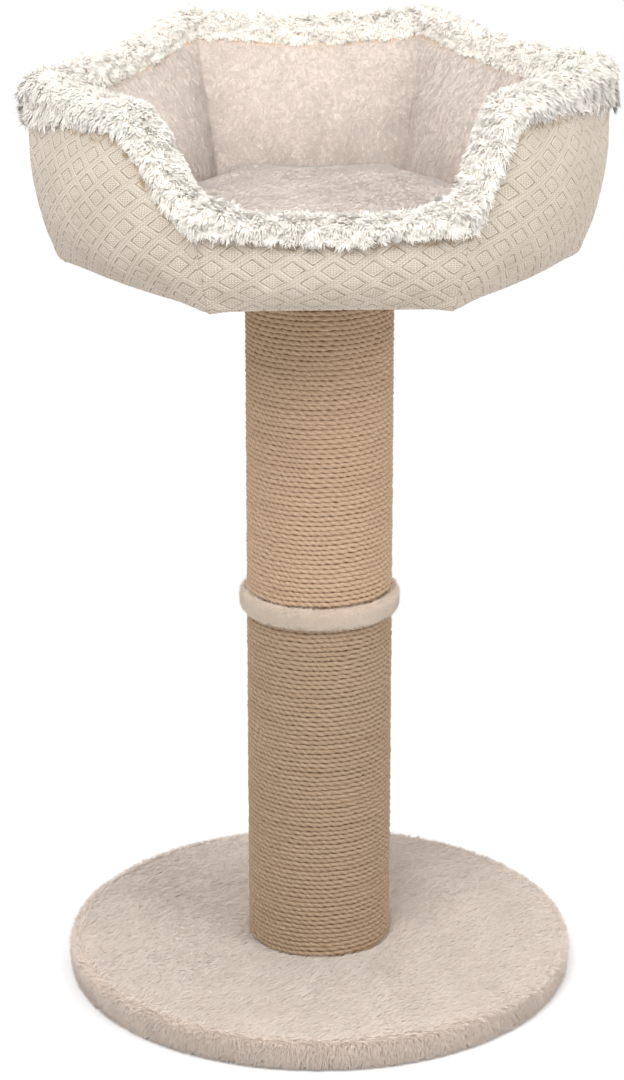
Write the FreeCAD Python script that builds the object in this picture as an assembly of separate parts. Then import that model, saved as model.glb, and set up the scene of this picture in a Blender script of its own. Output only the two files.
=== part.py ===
import FreeCAD, Part
import math
import os

Vec = FreeCAD.Vector

# Scratching post with a hexagonal bed on top. Millimetres, +Z up.
# The origin is on the post's axis, on the floor. The bed's low front side faces -Y.

# Base
base_board_radius = 218.0
base_board_thickness = 20.0
base_felt_thickness = 2.0
base_felt_inset = 16.0
base_hem_thickness = 2.0
base_hem_width = 46.0
base_plush_thickness = 6.0
base_plush_pressed = 2.0
base_plush_edge_round = 9.0
base_hatch_radius = 21.0
staple_count = 24
staple_crown = 10.0
staple_wire = 1.0
staple_leg = 8.0
staple_edge_inset = 34.0

# Post
post_radius = 62.5
rope_diameter = 3.7
rope_pitch = 4.2
rope_most_turns = 24
tube_wall = 5.0
tube_length = 309.5
plug_thickness = 20.0
brad_count = 4
brad_diameter = 1.6
brad_length = 16.0
ring_height = 22.0
ring_rise = 7.0
ring_stand_out = 6.0

# Fasteners
bolt_diameter = 8.0
bolt_head_height = 5.3
bolt_head_flats = 13.0
washer_thickness = 2.0
base_washer_radius = 15.0
bed_washer_radius = 18.0
bolt_past_nut = 3.0
tee_flange_radius = 11.0
tee_flange_thickness = 1.5
tee_barrel_radius = 5.2
tee_barrel_length = 9.0
base_counterbore_depth = 8.0
bed_counterbore_depth = 7.4

# Bed: half spans of the hexagon's corners, at the bottom and at full height
bottom_side_x = 217.0
bottom_end_x = 97.0
bottom_end_y = 177.0
rim_side_x = 240.0
rim_end_x = 107.0
rim_end_y = 198.0
full_height = 166.0
flare_power = 4.0
bed_cover_thickness = 1.5
bed_board_thickness = 12.0
floor_lining_thickness = 3.0
wall_lining_thickness = 3.0
wall_foot_width = 34.0
wall_rim_width = 15.0
outer_crown = 9.0
inner_crown = 7.0
inner_seam_bow = 2.0
bottom_crown = 3.0

# Heights of the rim above the bed's underside
front_rim = 71.0
front_corner_rim = 77.0
left_corner_rim = 141.0
right_corner_rim = 150.0
back_corner_rim = 164.0
rim_sag = 8.0
# Share of a front side's length over which its rim climbs from the low front
left_climb = 0.44
right_climb = 0.30

# Fringe along the rim
fringe_top = 19.0
fringe_outer_drop = 13.0
fringe_inner_drop = 10.0
fringe_outer_width = 12.0
fringe_inner_width = 10.0
fringe_tip = 3.0
fringe_seat_gap = 0.6
fringe_side_gap = 0.7
# Where the fringe's round top turns down, as shares of its top height and half width
fringe_shoulder = 0.5
fringe_fullness = 0.82

# Cushion
cushion_thickness = 40.0
cushion_play = 6.0
cushion_draw_in = 5.0
cushion_cover_thickness = 2.5
# Levels of the cushion's form: share of its thickness, and how far its outline draws in there
cushion_levels = [(0, 14.0), (0.18, 3.0), (0.4, 0.0), (0.68, 7.0), (0.9, 32.0), (1, 70.0)]

# Clearances
soft_gap = 0.3
hole_gap = 0.3
thread_gap = 0.1
bed_board_gap = 2.0
floor_lining_gap = 1.0

# Heights worked out from the sizes
board_bottom = base_felt_thickness + base_hem_thickness
board_top = board_bottom + base_board_thickness
plush_top = board_top + base_plush_thickness
post_bottom = board_top + base_plush_pressed
post_joint = post_bottom + tube_length
post_top = post_joint + tube_length
bed_bottom = post_top
bed_board_bottom = bed_bottom + bed_cover_thickness
bed_board_top = bed_board_bottom + bed_board_thickness
bed_floor = bed_board_top + floor_lining_thickness
cushion_bottom = bed_floor + soft_gap
ring_centre = post_joint + ring_rise
ring_bottom = ring_centre - ring_height / 2
ring_top = ring_centre + ring_height / 2

# Radii worked out from the sizes
rope_radius = rope_diameter / 2
rope_path_radius = post_radius - rope_radius
tube_radius = rope_path_radius - rope_radius - soft_gap
tube_bore = tube_radius - tube_wall
plug_radius = tube_bore - hole_gap
bolt_radius = bolt_diameter / 2
bolt_hole = bolt_radius + hole_gap
tee_hole = tee_barrel_radius + hole_gap

# The six sides run round from the right corner, and each one ends at the next corner
side_names = ["back_right", "back", "back_left", "front_left", "front", "front_right"]
corner_rims = [
    right_corner_rim,
    back_corner_rim,
    back_corner_rim,
    left_corner_rim,
    front_corner_rim,
    front_corner_rim,
]
end_angle = math.atan2(bottom_end_y, bottom_end_x)
corner_angles = [0, end_angle, math.pi - end_angle, math.pi, math.pi + end_angle, 2 * math.pi - end_angle]
bottom_end_radius = math.hypot(bottom_end_x, bottom_end_y)
rim_end_radius = math.hypot(rim_end_x, rim_end_y)
plain_stations = 5
climb_stations = 15
loft_degree = 2


def cylinder(radius, bottom, top):
    return Part.makeCylinder(radius, top - bottom, Vec(0, 0, bottom))


def tube(outer, inner, bottom, top):
    return cylinder(outer, bottom, top).cut(cylinder(inner, bottom, top))


def hexagon_head(flats, bottom, height):
    corner = flats / math.sqrt(3)
    points = []
    for step in range(7):
        angle = step * math.pi / 3
        points.append(Vec(corner * math.cos(angle), corner * math.sin(angle), bottom))
    face = Part.Face(Part.makePolygon(points))
    return face.extrude(Vec(0, 0, height))


def at_angle(shape, angle):
    turned = shape.copy()
    turned.rotate(Vec(0, 0, 0), Vec(0, 0, 1), math.degrees(angle))
    return turned


def spun(edges):
    face = Part.Face(Part.Wire(edges))
    return face.revolve(Vec(0, 0, 0), Vec(0, 0, 1), 360)


def radial_point(radius, angle, height):
    return Vec(radius * math.cos(angle), radius * math.sin(angle), height)


# Base


def make_base_board():
    board = tube(base_board_radius, bolt_hole, board_bottom, board_top)
    pocket = cylinder(base_washer_radius + hole_gap, board_bottom, board_bottom + base_counterbore_depth)
    return board.cut(pocket)


def make_base_plush_cover():
    inside = base_board_radius + soft_gap
    outside = base_board_radius + base_plush_thickness
    bottom = base_felt_thickness
    hem_end = outside - base_hem_width
    post_edge = post_radius + soft_gap
    shoulder = outside - base_plush_edge_round
    halfway = outside - base_plush_edge_round * (1 - math.sqrt(0.5))
    halfway_rise = base_plush_edge_round * (1 - math.sqrt(0.5))
    corners = [
        Vec(bolt_hole, 0, board_top),
        Vec(inside, 0, board_top),
        Vec(inside, 0, board_bottom),
        Vec(hem_end, 0, board_bottom),
        Vec(hem_end, 0, bottom),
        Vec(shoulder, 0, bottom),
        Vec(outside, 0, bottom + base_plush_edge_round),
        Vec(outside, 0, plush_top - base_plush_edge_round),
        Vec(shoulder, 0, plush_top),
        Vec(post_edge, 0, plush_top),
        Vec(post_edge, 0, post_bottom),
        Vec(bolt_hole, 0, post_bottom),
    ]
    # The two rounded edges start at these corners and pass through these points
    rounds = {
        5: Vec(halfway, 0, bottom + halfway_rise),
        7: Vec(halfway, 0, plush_top - halfway_rise),
    }
    edges = []
    for index, start in enumerate(corners):
        end = corners[(index + 1) % len(corners)]
        if index in rounds:
            edges.append(Part.Arc(start, rounds[index], end).toShape())
        else:
            edges.append(Part.makeLine(start, end))
    return spun(edges)


def make_base_underside_felt():
    return tube(base_board_radius - base_felt_inset, base_hatch_radius, 0, base_felt_thickness)


def make_base_staples():
    ring = base_board_radius + base_plush_thickness - staple_edge_inset
    first_leg = Vec(ring, -staple_crown / 2, base_felt_thickness)
    second_leg = first_leg + Vec(0, staple_crown - staple_wire, 0)
    crown = Part.makeBox(staple_wire, staple_crown, staple_wire, first_leg)
    staple = crown
    for corner in (first_leg, second_leg):
        staple = staple.fuse(Part.makeBox(staple_wire, staple_wire, staple_leg, corner))
    staple = staple.removeSplitter()
    step = 2 * math.pi / staple_count
    return Part.makeCompound([at_angle(staple, index * step) for index in range(staple_count)])


# Post


def plug_spans():
    return {
        "lower_bottom_plug": (post_bottom, post_bottom + plug_thickness),
        "lower_top_plug": (post_joint - plug_thickness, post_joint),
        "upper_bottom_plug": (post_joint, post_joint + plug_thickness),
        "upper_top_plug": (post_top - plug_thickness, post_top),
    }


def make_plug(name):
    bottom, top = plug_spans()[name]
    return tube(plug_radius, tee_hole, bottom, top)


def make_post_tube(bottom):
    return tube(tube_radius, tube_bore, bottom, bottom + tube_length)


def make_tee_nuts():
    nuts = []
    for name, (bottom, top) in plug_spans().items():
        if "bottom" in name:
            flange = (top, top + tee_flange_thickness)
            barrel = (top - tee_barrel_length, top)
        else:
            flange = (bottom - tee_flange_thickness, bottom)
            barrel = (bottom, bottom + tee_barrel_length)
        nut = cylinder(tee_flange_radius, *flange).fuse(cylinder(tee_barrel_radius, *barrel))
        bore = cylinder(bolt_radius + thread_gap, min(flange[0], barrel[0]), max(flange[1], barrel[1]))
        nuts.append(nut.cut(bore))
    return Part.makeCompound(nuts)


def make_plug_brads():
    brads = []
    for bottom, top in plug_spans().values():
        height = (bottom + top) / 2
        for index in range(brad_count):
            start = Vec(tube_radius - brad_length, 0, height)
            brad = Part.makeCylinder(brad_diameter / 2, brad_length, start, Vec(1, 0, 0))
            brads.append(at_angle(brad, (index + 0.5) * 2 * math.pi / brad_count))
    return Part.makeCompound(brads)


def make_joining_stud():
    reach = plug_thickness + tee_flange_thickness + bolt_past_nut
    return cylinder(bolt_radius, post_joint - reach, post_joint + reach)


def make_joint_ring():
    inside = tube_radius + soft_gap
    outside = post_radius + ring_stand_out
    corners = [Vec(inside, 0, ring_bottom), Vec(post_radius, 0, ring_bottom)]
    corners += [Vec(post_radius, 0, ring_top), Vec(inside, 0, ring_top)]
    edges = [
        Part.makeLine(corners[0], corners[1]),
        Part.Arc(corners[1], Vec(outside, 0, ring_centre), corners[2]).toShape(),
        Part.makeLine(corners[2], corners[3]),
        Part.makeLine(corners[3], corners[0]),
    ]
    return spun(edges)


# Rope: each half of the post carries one winding, made as lengths of no more than 24 turns


def arc_between(start, corner, end):
    middle = (start + end) * 0.5
    half = (end - start).Length / 2
    rise = (corner - middle).Length
    bow = half * math.tan(math.atan2(rise, half) / 2)
    return Part.Arc(start, middle + (corner - middle) * (bow / rise), end).toShape()


def biarc(start, start_way, end, end_way):
    span = end - start
    ways = start_way + end_way
    square = ways.dot(ways) - 4
    linear = -2 * span.dot(ways)
    reach = (-linear - math.sqrt(linear**2 - 4 * square * span.dot(span))) / (2 * square)
    first = start + start_way * reach
    second = end - end_way * reach
    meeting = (first + second) * 0.5
    return [arc_between(start, first, meeting), arc_between(meeting, second, end)]


def rope_plan(bottom, top):
    rise = top - bottom - rope_diameter
    half_turns_in_all = math.floor(2 * rise / rope_pitch)
    lengths = math.ceil(half_turns_in_all / (2 * rope_most_turns))
    half_turns = half_turns_in_all // lengths
    pitch = 2 * rise / (lengths * half_turns)
    return lengths, half_turns, pitch


def rope_spot(angle, pitch, bottom):
    height = bottom + rope_radius + pitch * angle / (2 * math.pi)
    return radial_point(rope_path_radius, angle, height)


def rope_way(angle, pitch):
    way = Vec(-rope_path_radius * math.sin(angle), rope_path_radius * math.cos(angle), pitch / (2 * math.pi))
    return way.normalize()


def print_rope_gap(name, first, last, pitch, bottom):
    steps_per_turn = 48
    step = 2 * math.pi / steps_per_turn
    count = int((last - first) / step)
    points = [rope_spot(first + index * step, pitch, bottom) for index in range(count)]
    least = math.inf
    for index, point in enumerate(points):
        near = points[index + steps_per_turn // 2 : index + 3 * steps_per_turn // 2]
        for other in near:
            least = min(least, point.distanceToPoint(other))
    print(f"{name}: least gap to itself {least - rope_diameter:.2f} mm")


def make_rope_length(name, index, half_turns, pitch, bottom):
    end_run = (rope_diameter + soft_gap / 2) / rope_path_radius
    first = index * half_turns * math.pi + end_run
    last = (index + 1) * half_turns * math.pi - end_run
    bend = (last - first) / half_turns
    start = rope_spot(first, pitch, bottom) - rope_way(first, pitch) * rope_diameter
    end = rope_spot(last, pitch, bottom) + rope_way(last, pitch) * rope_diameter
    edges = [Part.makeLine(start, rope_spot(first, pitch, bottom))]
    for turn in range(half_turns):
        angle = first + turn * bend
        after = angle + bend
        edges += biarc(
            rope_spot(angle, pitch, bottom),
            rope_way(angle, pitch),
            rope_spot(after, pitch, bottom),
            rope_way(after, pitch),
        )
    edges.append(Part.makeLine(rope_spot(last, pitch, bottom), end))
    outline = Part.Wire([Part.Circle(start, rope_way(first, pitch), rope_radius).toShape()])
    print_rope_gap(name, first, last, pitch, bottom)
    return Part.Wire(edges).makePipeShell([outline], True, False)


def make_ropes(half, bottom, top):
    lengths, half_turns, pitch = rope_plan(bottom, top)
    ropes = {}
    for index in range(lengths):
        name = f"{half}_rope_{index + 1}"
        ropes[name] = make_rope_length(name, index, half_turns, pitch, bottom)
    return ropes


# Bed


def flare(rise):
    return 1 - max(0, 1 - rise / full_height) ** flare_power


def corner_radius(corner, rise):
    if corner % 3 == 0:
        low, high = bottom_side_x, rim_side_x
    else:
        low, high = bottom_end_radius, rim_end_radius
    return low + (high - low) * flare(rise)


def side_angle(side, share):
    start = corner_angles[side]
    end = corner_angles[(side + 1) % 6]
    if end < start:
        end += 2 * math.pi
    return start + (end - start) * share


def straight_side(side, share, start, end):
    first = side_angle(side, 0)
    last = side_angle(side, 1)
    angle = side_angle(side, share)
    return start * end * math.sin(last - first) / (
        start * math.sin(angle - first) + end * math.sin(last - angle)
    )


# Corners of a side are cut in by this much more than its face is
mitre = 1 / math.sin(math.pi / 3)


def side_radius(side, share, rise, inset):
    start = corner_radius(side, rise) - inset * mitre
    end = corner_radius((side + 1) % 6, rise) - inset * mitre
    return straight_side(side, share, start, end)


def ease(share):
    share = min(1, max(0, share))
    return share * share * (3 - 2 * share)


def rim_height(side, share):
    start = corner_rims[side]
    end = corner_rims[(side + 1) % 6]
    name = side_names[side]
    if name == "front_left":
        return end + (start - end) * ease((1 - share) / left_climb)
    if name == "front_right":
        return start + (end - start) * ease(share / right_climb)
    if name == "front":
        return front_corner_rim - (front_corner_rim - front_rim) * math.sin(math.pi * share)
    return start + (end - start) * share - rim_sag * math.sin(math.pi * share)


def circle_through(points):
    (x1, y1), (x2, y2), (x3, y3) = points
    cross = 2 * (x1 * (y2 - y3) + x2 * (y3 - y1) + x3 * (y1 - y2))
    s1 = x1**2 + y1**2
    s2 = x2**2 + y2**2
    s3 = x3**2 + y3**2
    x = (s1 * (y2 - y3) + s2 * (y3 - y1) + s3 * (y1 - y2)) / cross
    y = (s1 * (x3 - x2) + s2 * (x1 - x3) + s3 * (x2 - x1)) / cross
    return x, y, math.hypot(x1 - x, y1 - y)


# A profile gives the radius of one face of a wall at any height above the bed's underside


class OuterProfile:
    # The patterned face: narrow at the bottom, then nearly upright, and crowned between the seams
    def __init__(self, side, share):
        crown = math.sin(math.pi * share)
        self.top = rim_height(side, share)
        self.bottom = bed_cover_thickness
        middle = (self.top + self.bottom) / 2
        self.circle = circle_through(
            [
                (side_radius(side, share, self.bottom, 0) + bottom_crown * crown, self.bottom),
                (side_radius(side, share, middle, 0) + outer_crown * crown, middle),
                (side_radius(side, share, self.top, 0) + bottom_crown * crown, self.top),
            ]
        )

    def radius(self, rise):
        x, y, size = self.circle
        return x + math.sqrt(size**2 - (rise - y) ** 2)


class InnerProfile:
    # The plush face: leans outward from the floor and swells a little into the bed
    def __init__(self, side, share):
        crown = math.sin(math.pi * share)
        self.top = rim_height(side, share)
        self.bottom = bed_board_top - bed_bottom
        middle = (self.top + self.bottom) / 2
        foot = side_radius(side, share, self.bottom, wall_foot_width)
        rim = side_radius(side, share, self.top, wall_rim_width) + bottom_crown * crown
        swell = inner_seam_bow + inner_crown * crown
        self.circle = circle_through(
            [(foot, self.bottom), ((foot + rim) / 2 - swell, middle), (rim, self.top)]
        )

    def radius(self, rise):
        x, y, size = self.circle
        return x - math.sqrt(size**2 - (rise - y) ** 2)


def profile_arc(profile, angle, offset, start, end):
    points = []
    for rise in (start, (start + end) / 2, end):
        points.append(radial_point(profile.radius(rise) + offset, angle, bed_bottom + rise))
    return Part.Arc(*points).toShape()


def closed_band(up, down):
    top = Part.makeLine(up.valueAt(up.LastParameter), down.valueAt(down.FirstParameter))
    foot = Part.makeLine(down.valueAt(down.LastParameter), up.valueAt(up.FirstParameter))
    return Part.Wire([up, top, down, foot])


def cover_section(side, share):
    angle = side_angle(side, share)
    face = OuterProfile(side, share)
    up = profile_arc(face, angle, 0, face.bottom, face.top)
    down = profile_arc(face, angle, -bed_cover_thickness, face.top, face.bottom)
    return closed_band(up, down)


def lining_section(side, share):
    angle = side_angle(side, share)
    face = InnerProfile(side, share)
    up = profile_arc(face, angle, wall_lining_thickness, face.bottom, face.top)
    down = profile_arc(face, angle, 0, face.top, face.bottom)
    return closed_band(up, down)


def pad_section(side, share):
    angle = side_angle(side, share)
    outer = OuterProfile(side, share)
    inner = InnerProfile(side, share)
    foot = inner.bottom
    up = profile_arc(outer, angle, -bed_cover_thickness - soft_gap, foot, outer.top)
    down = profile_arc(inner, angle, wall_lining_thickness + soft_gap, inner.top, foot)
    return closed_band(up, down)


def fringe_section(side, share):
    angle = side_angle(side, share)
    outer = OuterProfile(side, share)
    inner = InnerProfile(side, share)
    rim = outer.top
    outer_foot = rim - fringe_outer_drop
    inner_foot = rim - fringe_inner_drop
    outer_in = max(outer.radius(rim), outer.radius(outer_foot)) + fringe_side_gap
    inner_in = min(inner.radius(rim), inner.radius(inner_foot)) - fringe_side_gap
    outer_out = outer_in + fringe_outer_width
    inner_out = inner_in - fringe_inner_width
    middle = (outer_out + inner_out) / 2
    half = (outer_out - inner_out) / 2
    shoulder = rim + fringe_top * fringe_shoulder
    top = rim + fringe_top
    under = rim + fringe_seat_gap

    def spot(radius, rise):
        return radial_point(radius, angle, bed_bottom + rise)

    def bowed(start, through, end):
        return Part.Arc(spot(*start), spot(*through), spot(*end)).toShape()

    def straight(start, end):
        return Part.makeLine(spot(*start), spot(*end))

    reach = half * fringe_fullness
    outer_tip = ((outer_in + outer_out) / 2, outer_foot - fringe_tip)
    inner_tip = ((inner_in + inner_out) / 2, inner_foot - fringe_tip)
    return Part.Wire(
        [
            bowed((outer_in, outer_foot), outer_tip, (outer_out, outer_foot)),
            bowed((outer_out, outer_foot), (middle + reach, shoulder), (middle, top)),
            bowed((middle, top), (middle - reach, shoulder), (inner_out, inner_foot)),
            bowed((inner_out, inner_foot), inner_tip, (inner_in, inner_foot)),
            straight((inner_in, inner_foot), (inner_in, under)),
            straight((inner_in, under), (outer_in, under)),
            straight((outer_in, under), (outer_in, outer_foot)),
        ]
    )


def make_side(section, side):
    climbs = side_names[side] in ("front_left", "front_right")
    stations = climb_stations if climbs else plain_stations
    sections = [section(side, index / (stations - 1)) for index in range(stations)]
    return Part.makeLoft(sections, True, False, False, loft_degree)


def hexagon_face(inset, rise, height):
    points = []
    for corner in range(7):
        radius = corner_radius(corner % 6, rise) - inset * mitre
        points.append(radial_point(radius, corner_angles[corner % 6], height))
    return Part.Face(Part.makePolygon(points))


def make_bed_bottom_cover():
    face = hexagon_face(0, bed_cover_thickness, bed_bottom)
    sheet = face.extrude(Vec(0, 0, bed_cover_thickness))
    return sheet.cut(cylinder(bolt_hole, bed_bottom, bed_board_bottom))


def make_bed_board():
    face = hexagon_face(bed_cover_thickness + bed_board_gap, bed_cover_thickness, bed_board_bottom)
    board = face.extrude(Vec(0, 0, bed_board_thickness))
    board = board.cut(cylinder(bolt_hole, bed_board_bottom, bed_board_top))
    pocket = cylinder(bed_washer_radius + hole_gap, bed_board_top - bed_counterbore_depth, bed_board_top)
    return board.cut(pocket)


def make_bed_floor_lining():
    foot = bed_board_top - bed_bottom
    face = hexagon_face(wall_foot_width + floor_lining_gap, foot, bed_board_top)
    sheet = face.extrude(Vec(0, 0, floor_lining_thickness))
    return sheet.cut(cylinder(bed_washer_radius + hole_gap, bed_board_top, bed_floor))


# Bolts and washers


def make_base_washer():
    seat = board_bottom + base_counterbore_depth
    return tube(base_washer_radius, bolt_hole, seat - washer_thickness, seat)


def make_base_bolt():
    under_head = board_bottom + base_counterbore_depth - washer_thickness
    tip = post_bottom + plug_thickness + tee_flange_thickness + bolt_past_nut
    head = hexagon_head(bolt_head_flats, under_head - bolt_head_height, bolt_head_height)
    return head.fuse(cylinder(bolt_radius, under_head, tip))


def make_bed_washer():
    seat = bed_board_top - bed_counterbore_depth
    return tube(bed_washer_radius, bolt_hole, seat, seat + washer_thickness)


def make_bed_bolt():
    under_head = bed_board_top - bed_counterbore_depth + washer_thickness
    tip = post_top - plug_thickness - tee_flange_thickness - bolt_past_nut
    head = hexagon_head(bolt_head_flats, under_head, bolt_head_height)
    return head.fuse(cylinder(bolt_radius, tip, under_head))


# Cushion: six drawn-in sides, a rounded edge and a crowned top


def cushion_outline(inset, height):
    foot = bed_board_top - bed_bottom
    edges = []
    for side in range(6):
        plan = wall_foot_width + cushion_play + inset
        start = side_radius(side, 0, foot, plan)
        middle = side_radius(side, 0.5, foot, plan + cushion_draw_in)
        end = side_radius(side, 1, foot, plan)
        points = [
            radial_point(start, side_angle(side, 0), height),
            radial_point(middle, side_angle(side, 0.5), height),
            radial_point(end, side_angle(side, 1), height),
        ]
        edges.append(Part.Arc(*points).toShape())
    return Part.Wire(edges)


def cushion_form(inset):
    bottom = cushion_bottom + inset
    thickness = cushion_thickness - 2 * inset
    outlines = []
    for rise, draw in cushion_levels:
        outlines.append(cushion_outline(inset + draw, bottom + rise * thickness))
    return Part.makeLoft(outlines, True, False, False, loft_degree)


def make_cushion_cover():
    return cushion_form(0).cut(cushion_form(cushion_cover_thickness))


def make_cushion_filling():
    return cushion_form(cushion_cover_thickness + soft_gap)


# Every sub-part by its name


def make_parts():
    parts = {
        "base_board": make_base_board(),
        "base_plush_cover": make_base_plush_cover(),
        "base_underside_felt": make_base_underside_felt(),
        "base_staples": make_base_staples(),
        "base_bolt": make_base_bolt(),
        "base_washer": make_base_washer(),
        "lower_post_tube": make_post_tube(post_bottom),
        "upper_post_tube": make_post_tube(post_joint),
        "tee_nuts": make_tee_nuts(),
        "plug_brads": make_plug_brads(),
        "joining_stud": make_joining_stud(),
        "joint_ring": make_joint_ring(),
        "bed_bottom_cover": make_bed_bottom_cover(),
        "bed_board": make_bed_board(),
        "bed_floor_lining": make_bed_floor_lining(),
        "bed_bolt": make_bed_bolt(),
        "bed_washer": make_bed_washer(),
        "cushion_cover": make_cushion_cover(),
        "cushion_filling": make_cushion_filling(),
    }
    for name in plug_spans():
        parts[name] = make_plug(name)
    parts.update(make_ropes("lower", post_bottom + soft_gap, ring_bottom - soft_gap))
    parts.update(make_ropes("upper", ring_top + soft_gap, post_top - soft_gap))
    for side, name in enumerate(side_names):
        parts[f"wall_pad_{name}"] = make_side(pad_section, side)
        parts[f"wall_cover_{name}"] = make_side(cover_section, side)
        parts[f"wall_lining_{name}"] = make_side(lining_section, side)
        parts[f"rim_fringe_{name}"] = make_side(fringe_section, side)
    return parts


os.makedirs("parts", exist_ok=True)
for part_name, shape in make_parts().items():
    shape.exportStep(f"parts/{part_name}.step")
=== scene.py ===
import math
from collections import namedtuple

import bmesh
import bpy
import numpy as np
from mathutils import Matrix, Vector
from mathutils.bvhtree import BVHTree
from mathutils.kdtree import KDTree


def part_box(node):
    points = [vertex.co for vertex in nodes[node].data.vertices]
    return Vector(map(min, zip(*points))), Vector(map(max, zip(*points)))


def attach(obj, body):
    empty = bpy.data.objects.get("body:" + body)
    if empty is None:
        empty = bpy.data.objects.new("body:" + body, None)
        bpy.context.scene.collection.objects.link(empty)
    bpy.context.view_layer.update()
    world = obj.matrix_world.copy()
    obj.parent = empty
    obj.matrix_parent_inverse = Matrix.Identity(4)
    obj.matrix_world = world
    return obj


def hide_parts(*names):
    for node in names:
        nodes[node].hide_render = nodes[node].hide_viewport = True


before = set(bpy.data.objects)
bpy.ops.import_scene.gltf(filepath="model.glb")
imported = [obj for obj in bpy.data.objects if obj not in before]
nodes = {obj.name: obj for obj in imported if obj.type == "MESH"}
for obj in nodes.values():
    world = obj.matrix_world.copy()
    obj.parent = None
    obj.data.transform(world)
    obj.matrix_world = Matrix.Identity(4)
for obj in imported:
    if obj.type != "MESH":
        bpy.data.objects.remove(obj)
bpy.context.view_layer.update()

# A jute-wound scratching post with a round plush base and a hexagonal padded bed. Metres, +Z up.
# Places come from the CAD nodes. The values below are those of the cloth, the pile, the rope and the light.

scene = bpy.context.scene
sides = ["back_right", "back", "back_left", "front_left", "front", "front_right"]
halves = ("lower", "upper")
full_turn = 2 * math.pi
quarter_turn = math.pi / 2
falling = (1.0, 0.0)
tiny = 1e-9
base_seed = 11
post_seed = 23
ring_seed = 31
bed_seed = 47

# Photograph: its height in pixels, and the camera fitted to the base, the post and the bed
photo_height = 1080
focal_pixels = 3179.0
sensor_height = 36.0
camera_distance = 2.753
camera_pitch = math.radians(18.54)
camera_azimuth = math.radians(-3.0)
aim_height = 0.3966
aim_left = 0.0065

# Light: each lamp has a name, a place, an aim, a size and a power
world_light = 0.94
lamps = [
    ("key_light", (-0.9, -1.7, 2.5), (0.0, 0.0, 0.6), 1.6, 41.0),
    ("fill_light", (1.9, -1.6, 1.9), (0.0, 0.0, 0.6), 1.8, 26.0),
    ("top_light", (0.1, 0.2, 2.8), (0.0, 0.0, 0.7), 1.6, 7.0),
]

# Floor: where it fades to white, its tones, and the share of light that it returns
floor_half = 14.0
floor_fade = (0.26, 0.62)
floor_tones = ((0.93, 0.93, 0.93, 1), (0.95, 0.95, 0.95, 1))
floor_return = (0.68, 0.68, 0.68, 1)
floor_grain = 40.0
floor_grain_range = (0.2, 0.8)
floor_roughness = 0.9
white = (1.0, 1.0, 1.0, 1.0)

# Colours, as red, green and blue from 0 to 255
cloth_tones = ((208, 196, 181), (216, 206, 193))
cloth_groove_tone = (142, 121, 101)
# Painted highlight on the raised frame inside each diamond's outline
cloth_frame_highlight_tone = (221, 212, 200)
# Painted shadow on the outer cloth, in spots just below the fringe
cloth_fringe_shadow_tone = (148, 124, 92)
cloth_sheen_tone = (255, 248, 240)
jute_tones = ((178, 147, 118), (222, 195, 166))
jute_patch_tone = (200, 171, 143)
jute_turn_tone = (168, 137, 109)
# Painted shade in the grooves between the rope's plies
jute_groove_shade_tone = (142, 111, 82)
jute_sheen_tone = (226, 200, 165)
board_tones = ((186, 150, 108), (208, 176, 134))
card_tones = ((170, 138, 100), (192, 162, 124))
steel_tones = ((176, 178, 180), (208, 209, 210))
felt_tones = ((112, 108, 105), (146, 142, 138))
felt_sheen_tone = (170, 168, 165)

# Colours of pile: the cloth that it grows on has dark and light, its strands have roots, tips and odd ones
base_skin_tones = ((214, 197, 184), (238, 224, 212))
base_tip_tones = ((229, 211, 198), (250, 236, 224), (239, 223, 210))
# The base's edge strands are a darker copy of its top's: painted shade on the side
base_edge_shade_tones = ((214, 196, 182), (238, 222, 209), (226, 209, 195))
ring_skin_tones = ((222, 202, 184), (234, 219, 204))
ring_tip_tones = ((222, 201, 182), (234, 218, 201), (228, 209, 190))
lining_skin_tones = ((219, 203, 191), (231, 220, 211))
lining_tip_tones = ((219, 204, 193), (231, 221, 213), (224, 211, 202))
# Painted shade on the lining's bare seam, under the fringe
lining_seam_shade_tone = (200, 167, 132)
fringe_skin_tones = ((248, 239, 222), (252, 247, 238))
fringe_tip_tones = ((251, 241, 225), (254, 249, 240), (252, 245, 233))
underside_tones = ((196, 178, 158), (222, 206, 188))
hair_tones = ((176, 144, 112), (214, 188, 160), (192, 163, 134))

# Grain of the materials: scales, and the ranges of noise that run from one tone to the next
noise_detail = 3.0
noise_roughness = 0.55
grain_detail = 4.0
broad_detail = 2.0
skin_noise = (5.0, 0.7)
jute_noise = (4.0, 0.7)
felt_noise = (5.0, 0.75)
grain_range = (0.3, 0.7)
patch_range = (0.35, 0.7)
patch_share = (0.0, 0.35)
uneven_range = (0.35, 0.65)
base_grain = 420.0
ring_grain = 500.0
lining_grain = 430.0
fringe_grain = 300.0
underside_grain = 700.0
skin_patch_ratio = 14
skin_bump = (0.002, 0.7)
# Painted shade under the fringe at the lining's seam: its scale, the band of rim_shade where it lies, and
# its share
seam_shade_scale = 120.0
seam_shade_range = (0.75, 0.9)
seam_shade_share = (0.25, 0.9)
strand_shade_range = (0.0, 0.75)
odd_range = (0.35, 1.0)
odd_share = (0.0, 0.6)
jute_fibre_stretch = (260.0, 9.0, 1.0)
jute_fibre_range = (0.28, 0.72)
jute_patch_scale = 22.0
jute_turn_stretch = (9.0, 9.0, 260.0)
jute_turn_range = (0.45, 0.75)
jute_turn_share = (0.0, 0.3)
jute_groove_shade_range = (0.4, 1.0)
jute_groove_shade_share = (0.0, 0.32)
jute_bump = (0.0006, 0.8)
board_stretch = (40.0, 300.0, 300.0)
board_chip_scale = 260.0
board_chip_share = 0.12
board_bump = 0.0004
board_roughness = 0.75
card_stretch = (200.0, 200.0, 60.0)
card_bump = 0.0003
card_roughness = 0.85
steel_stretch = (900.0, 900.0, 120.0)
steel_roughness = (0.28, 0.42)
felt_scale = 500.0
felt_bump = 0.0006

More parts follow.
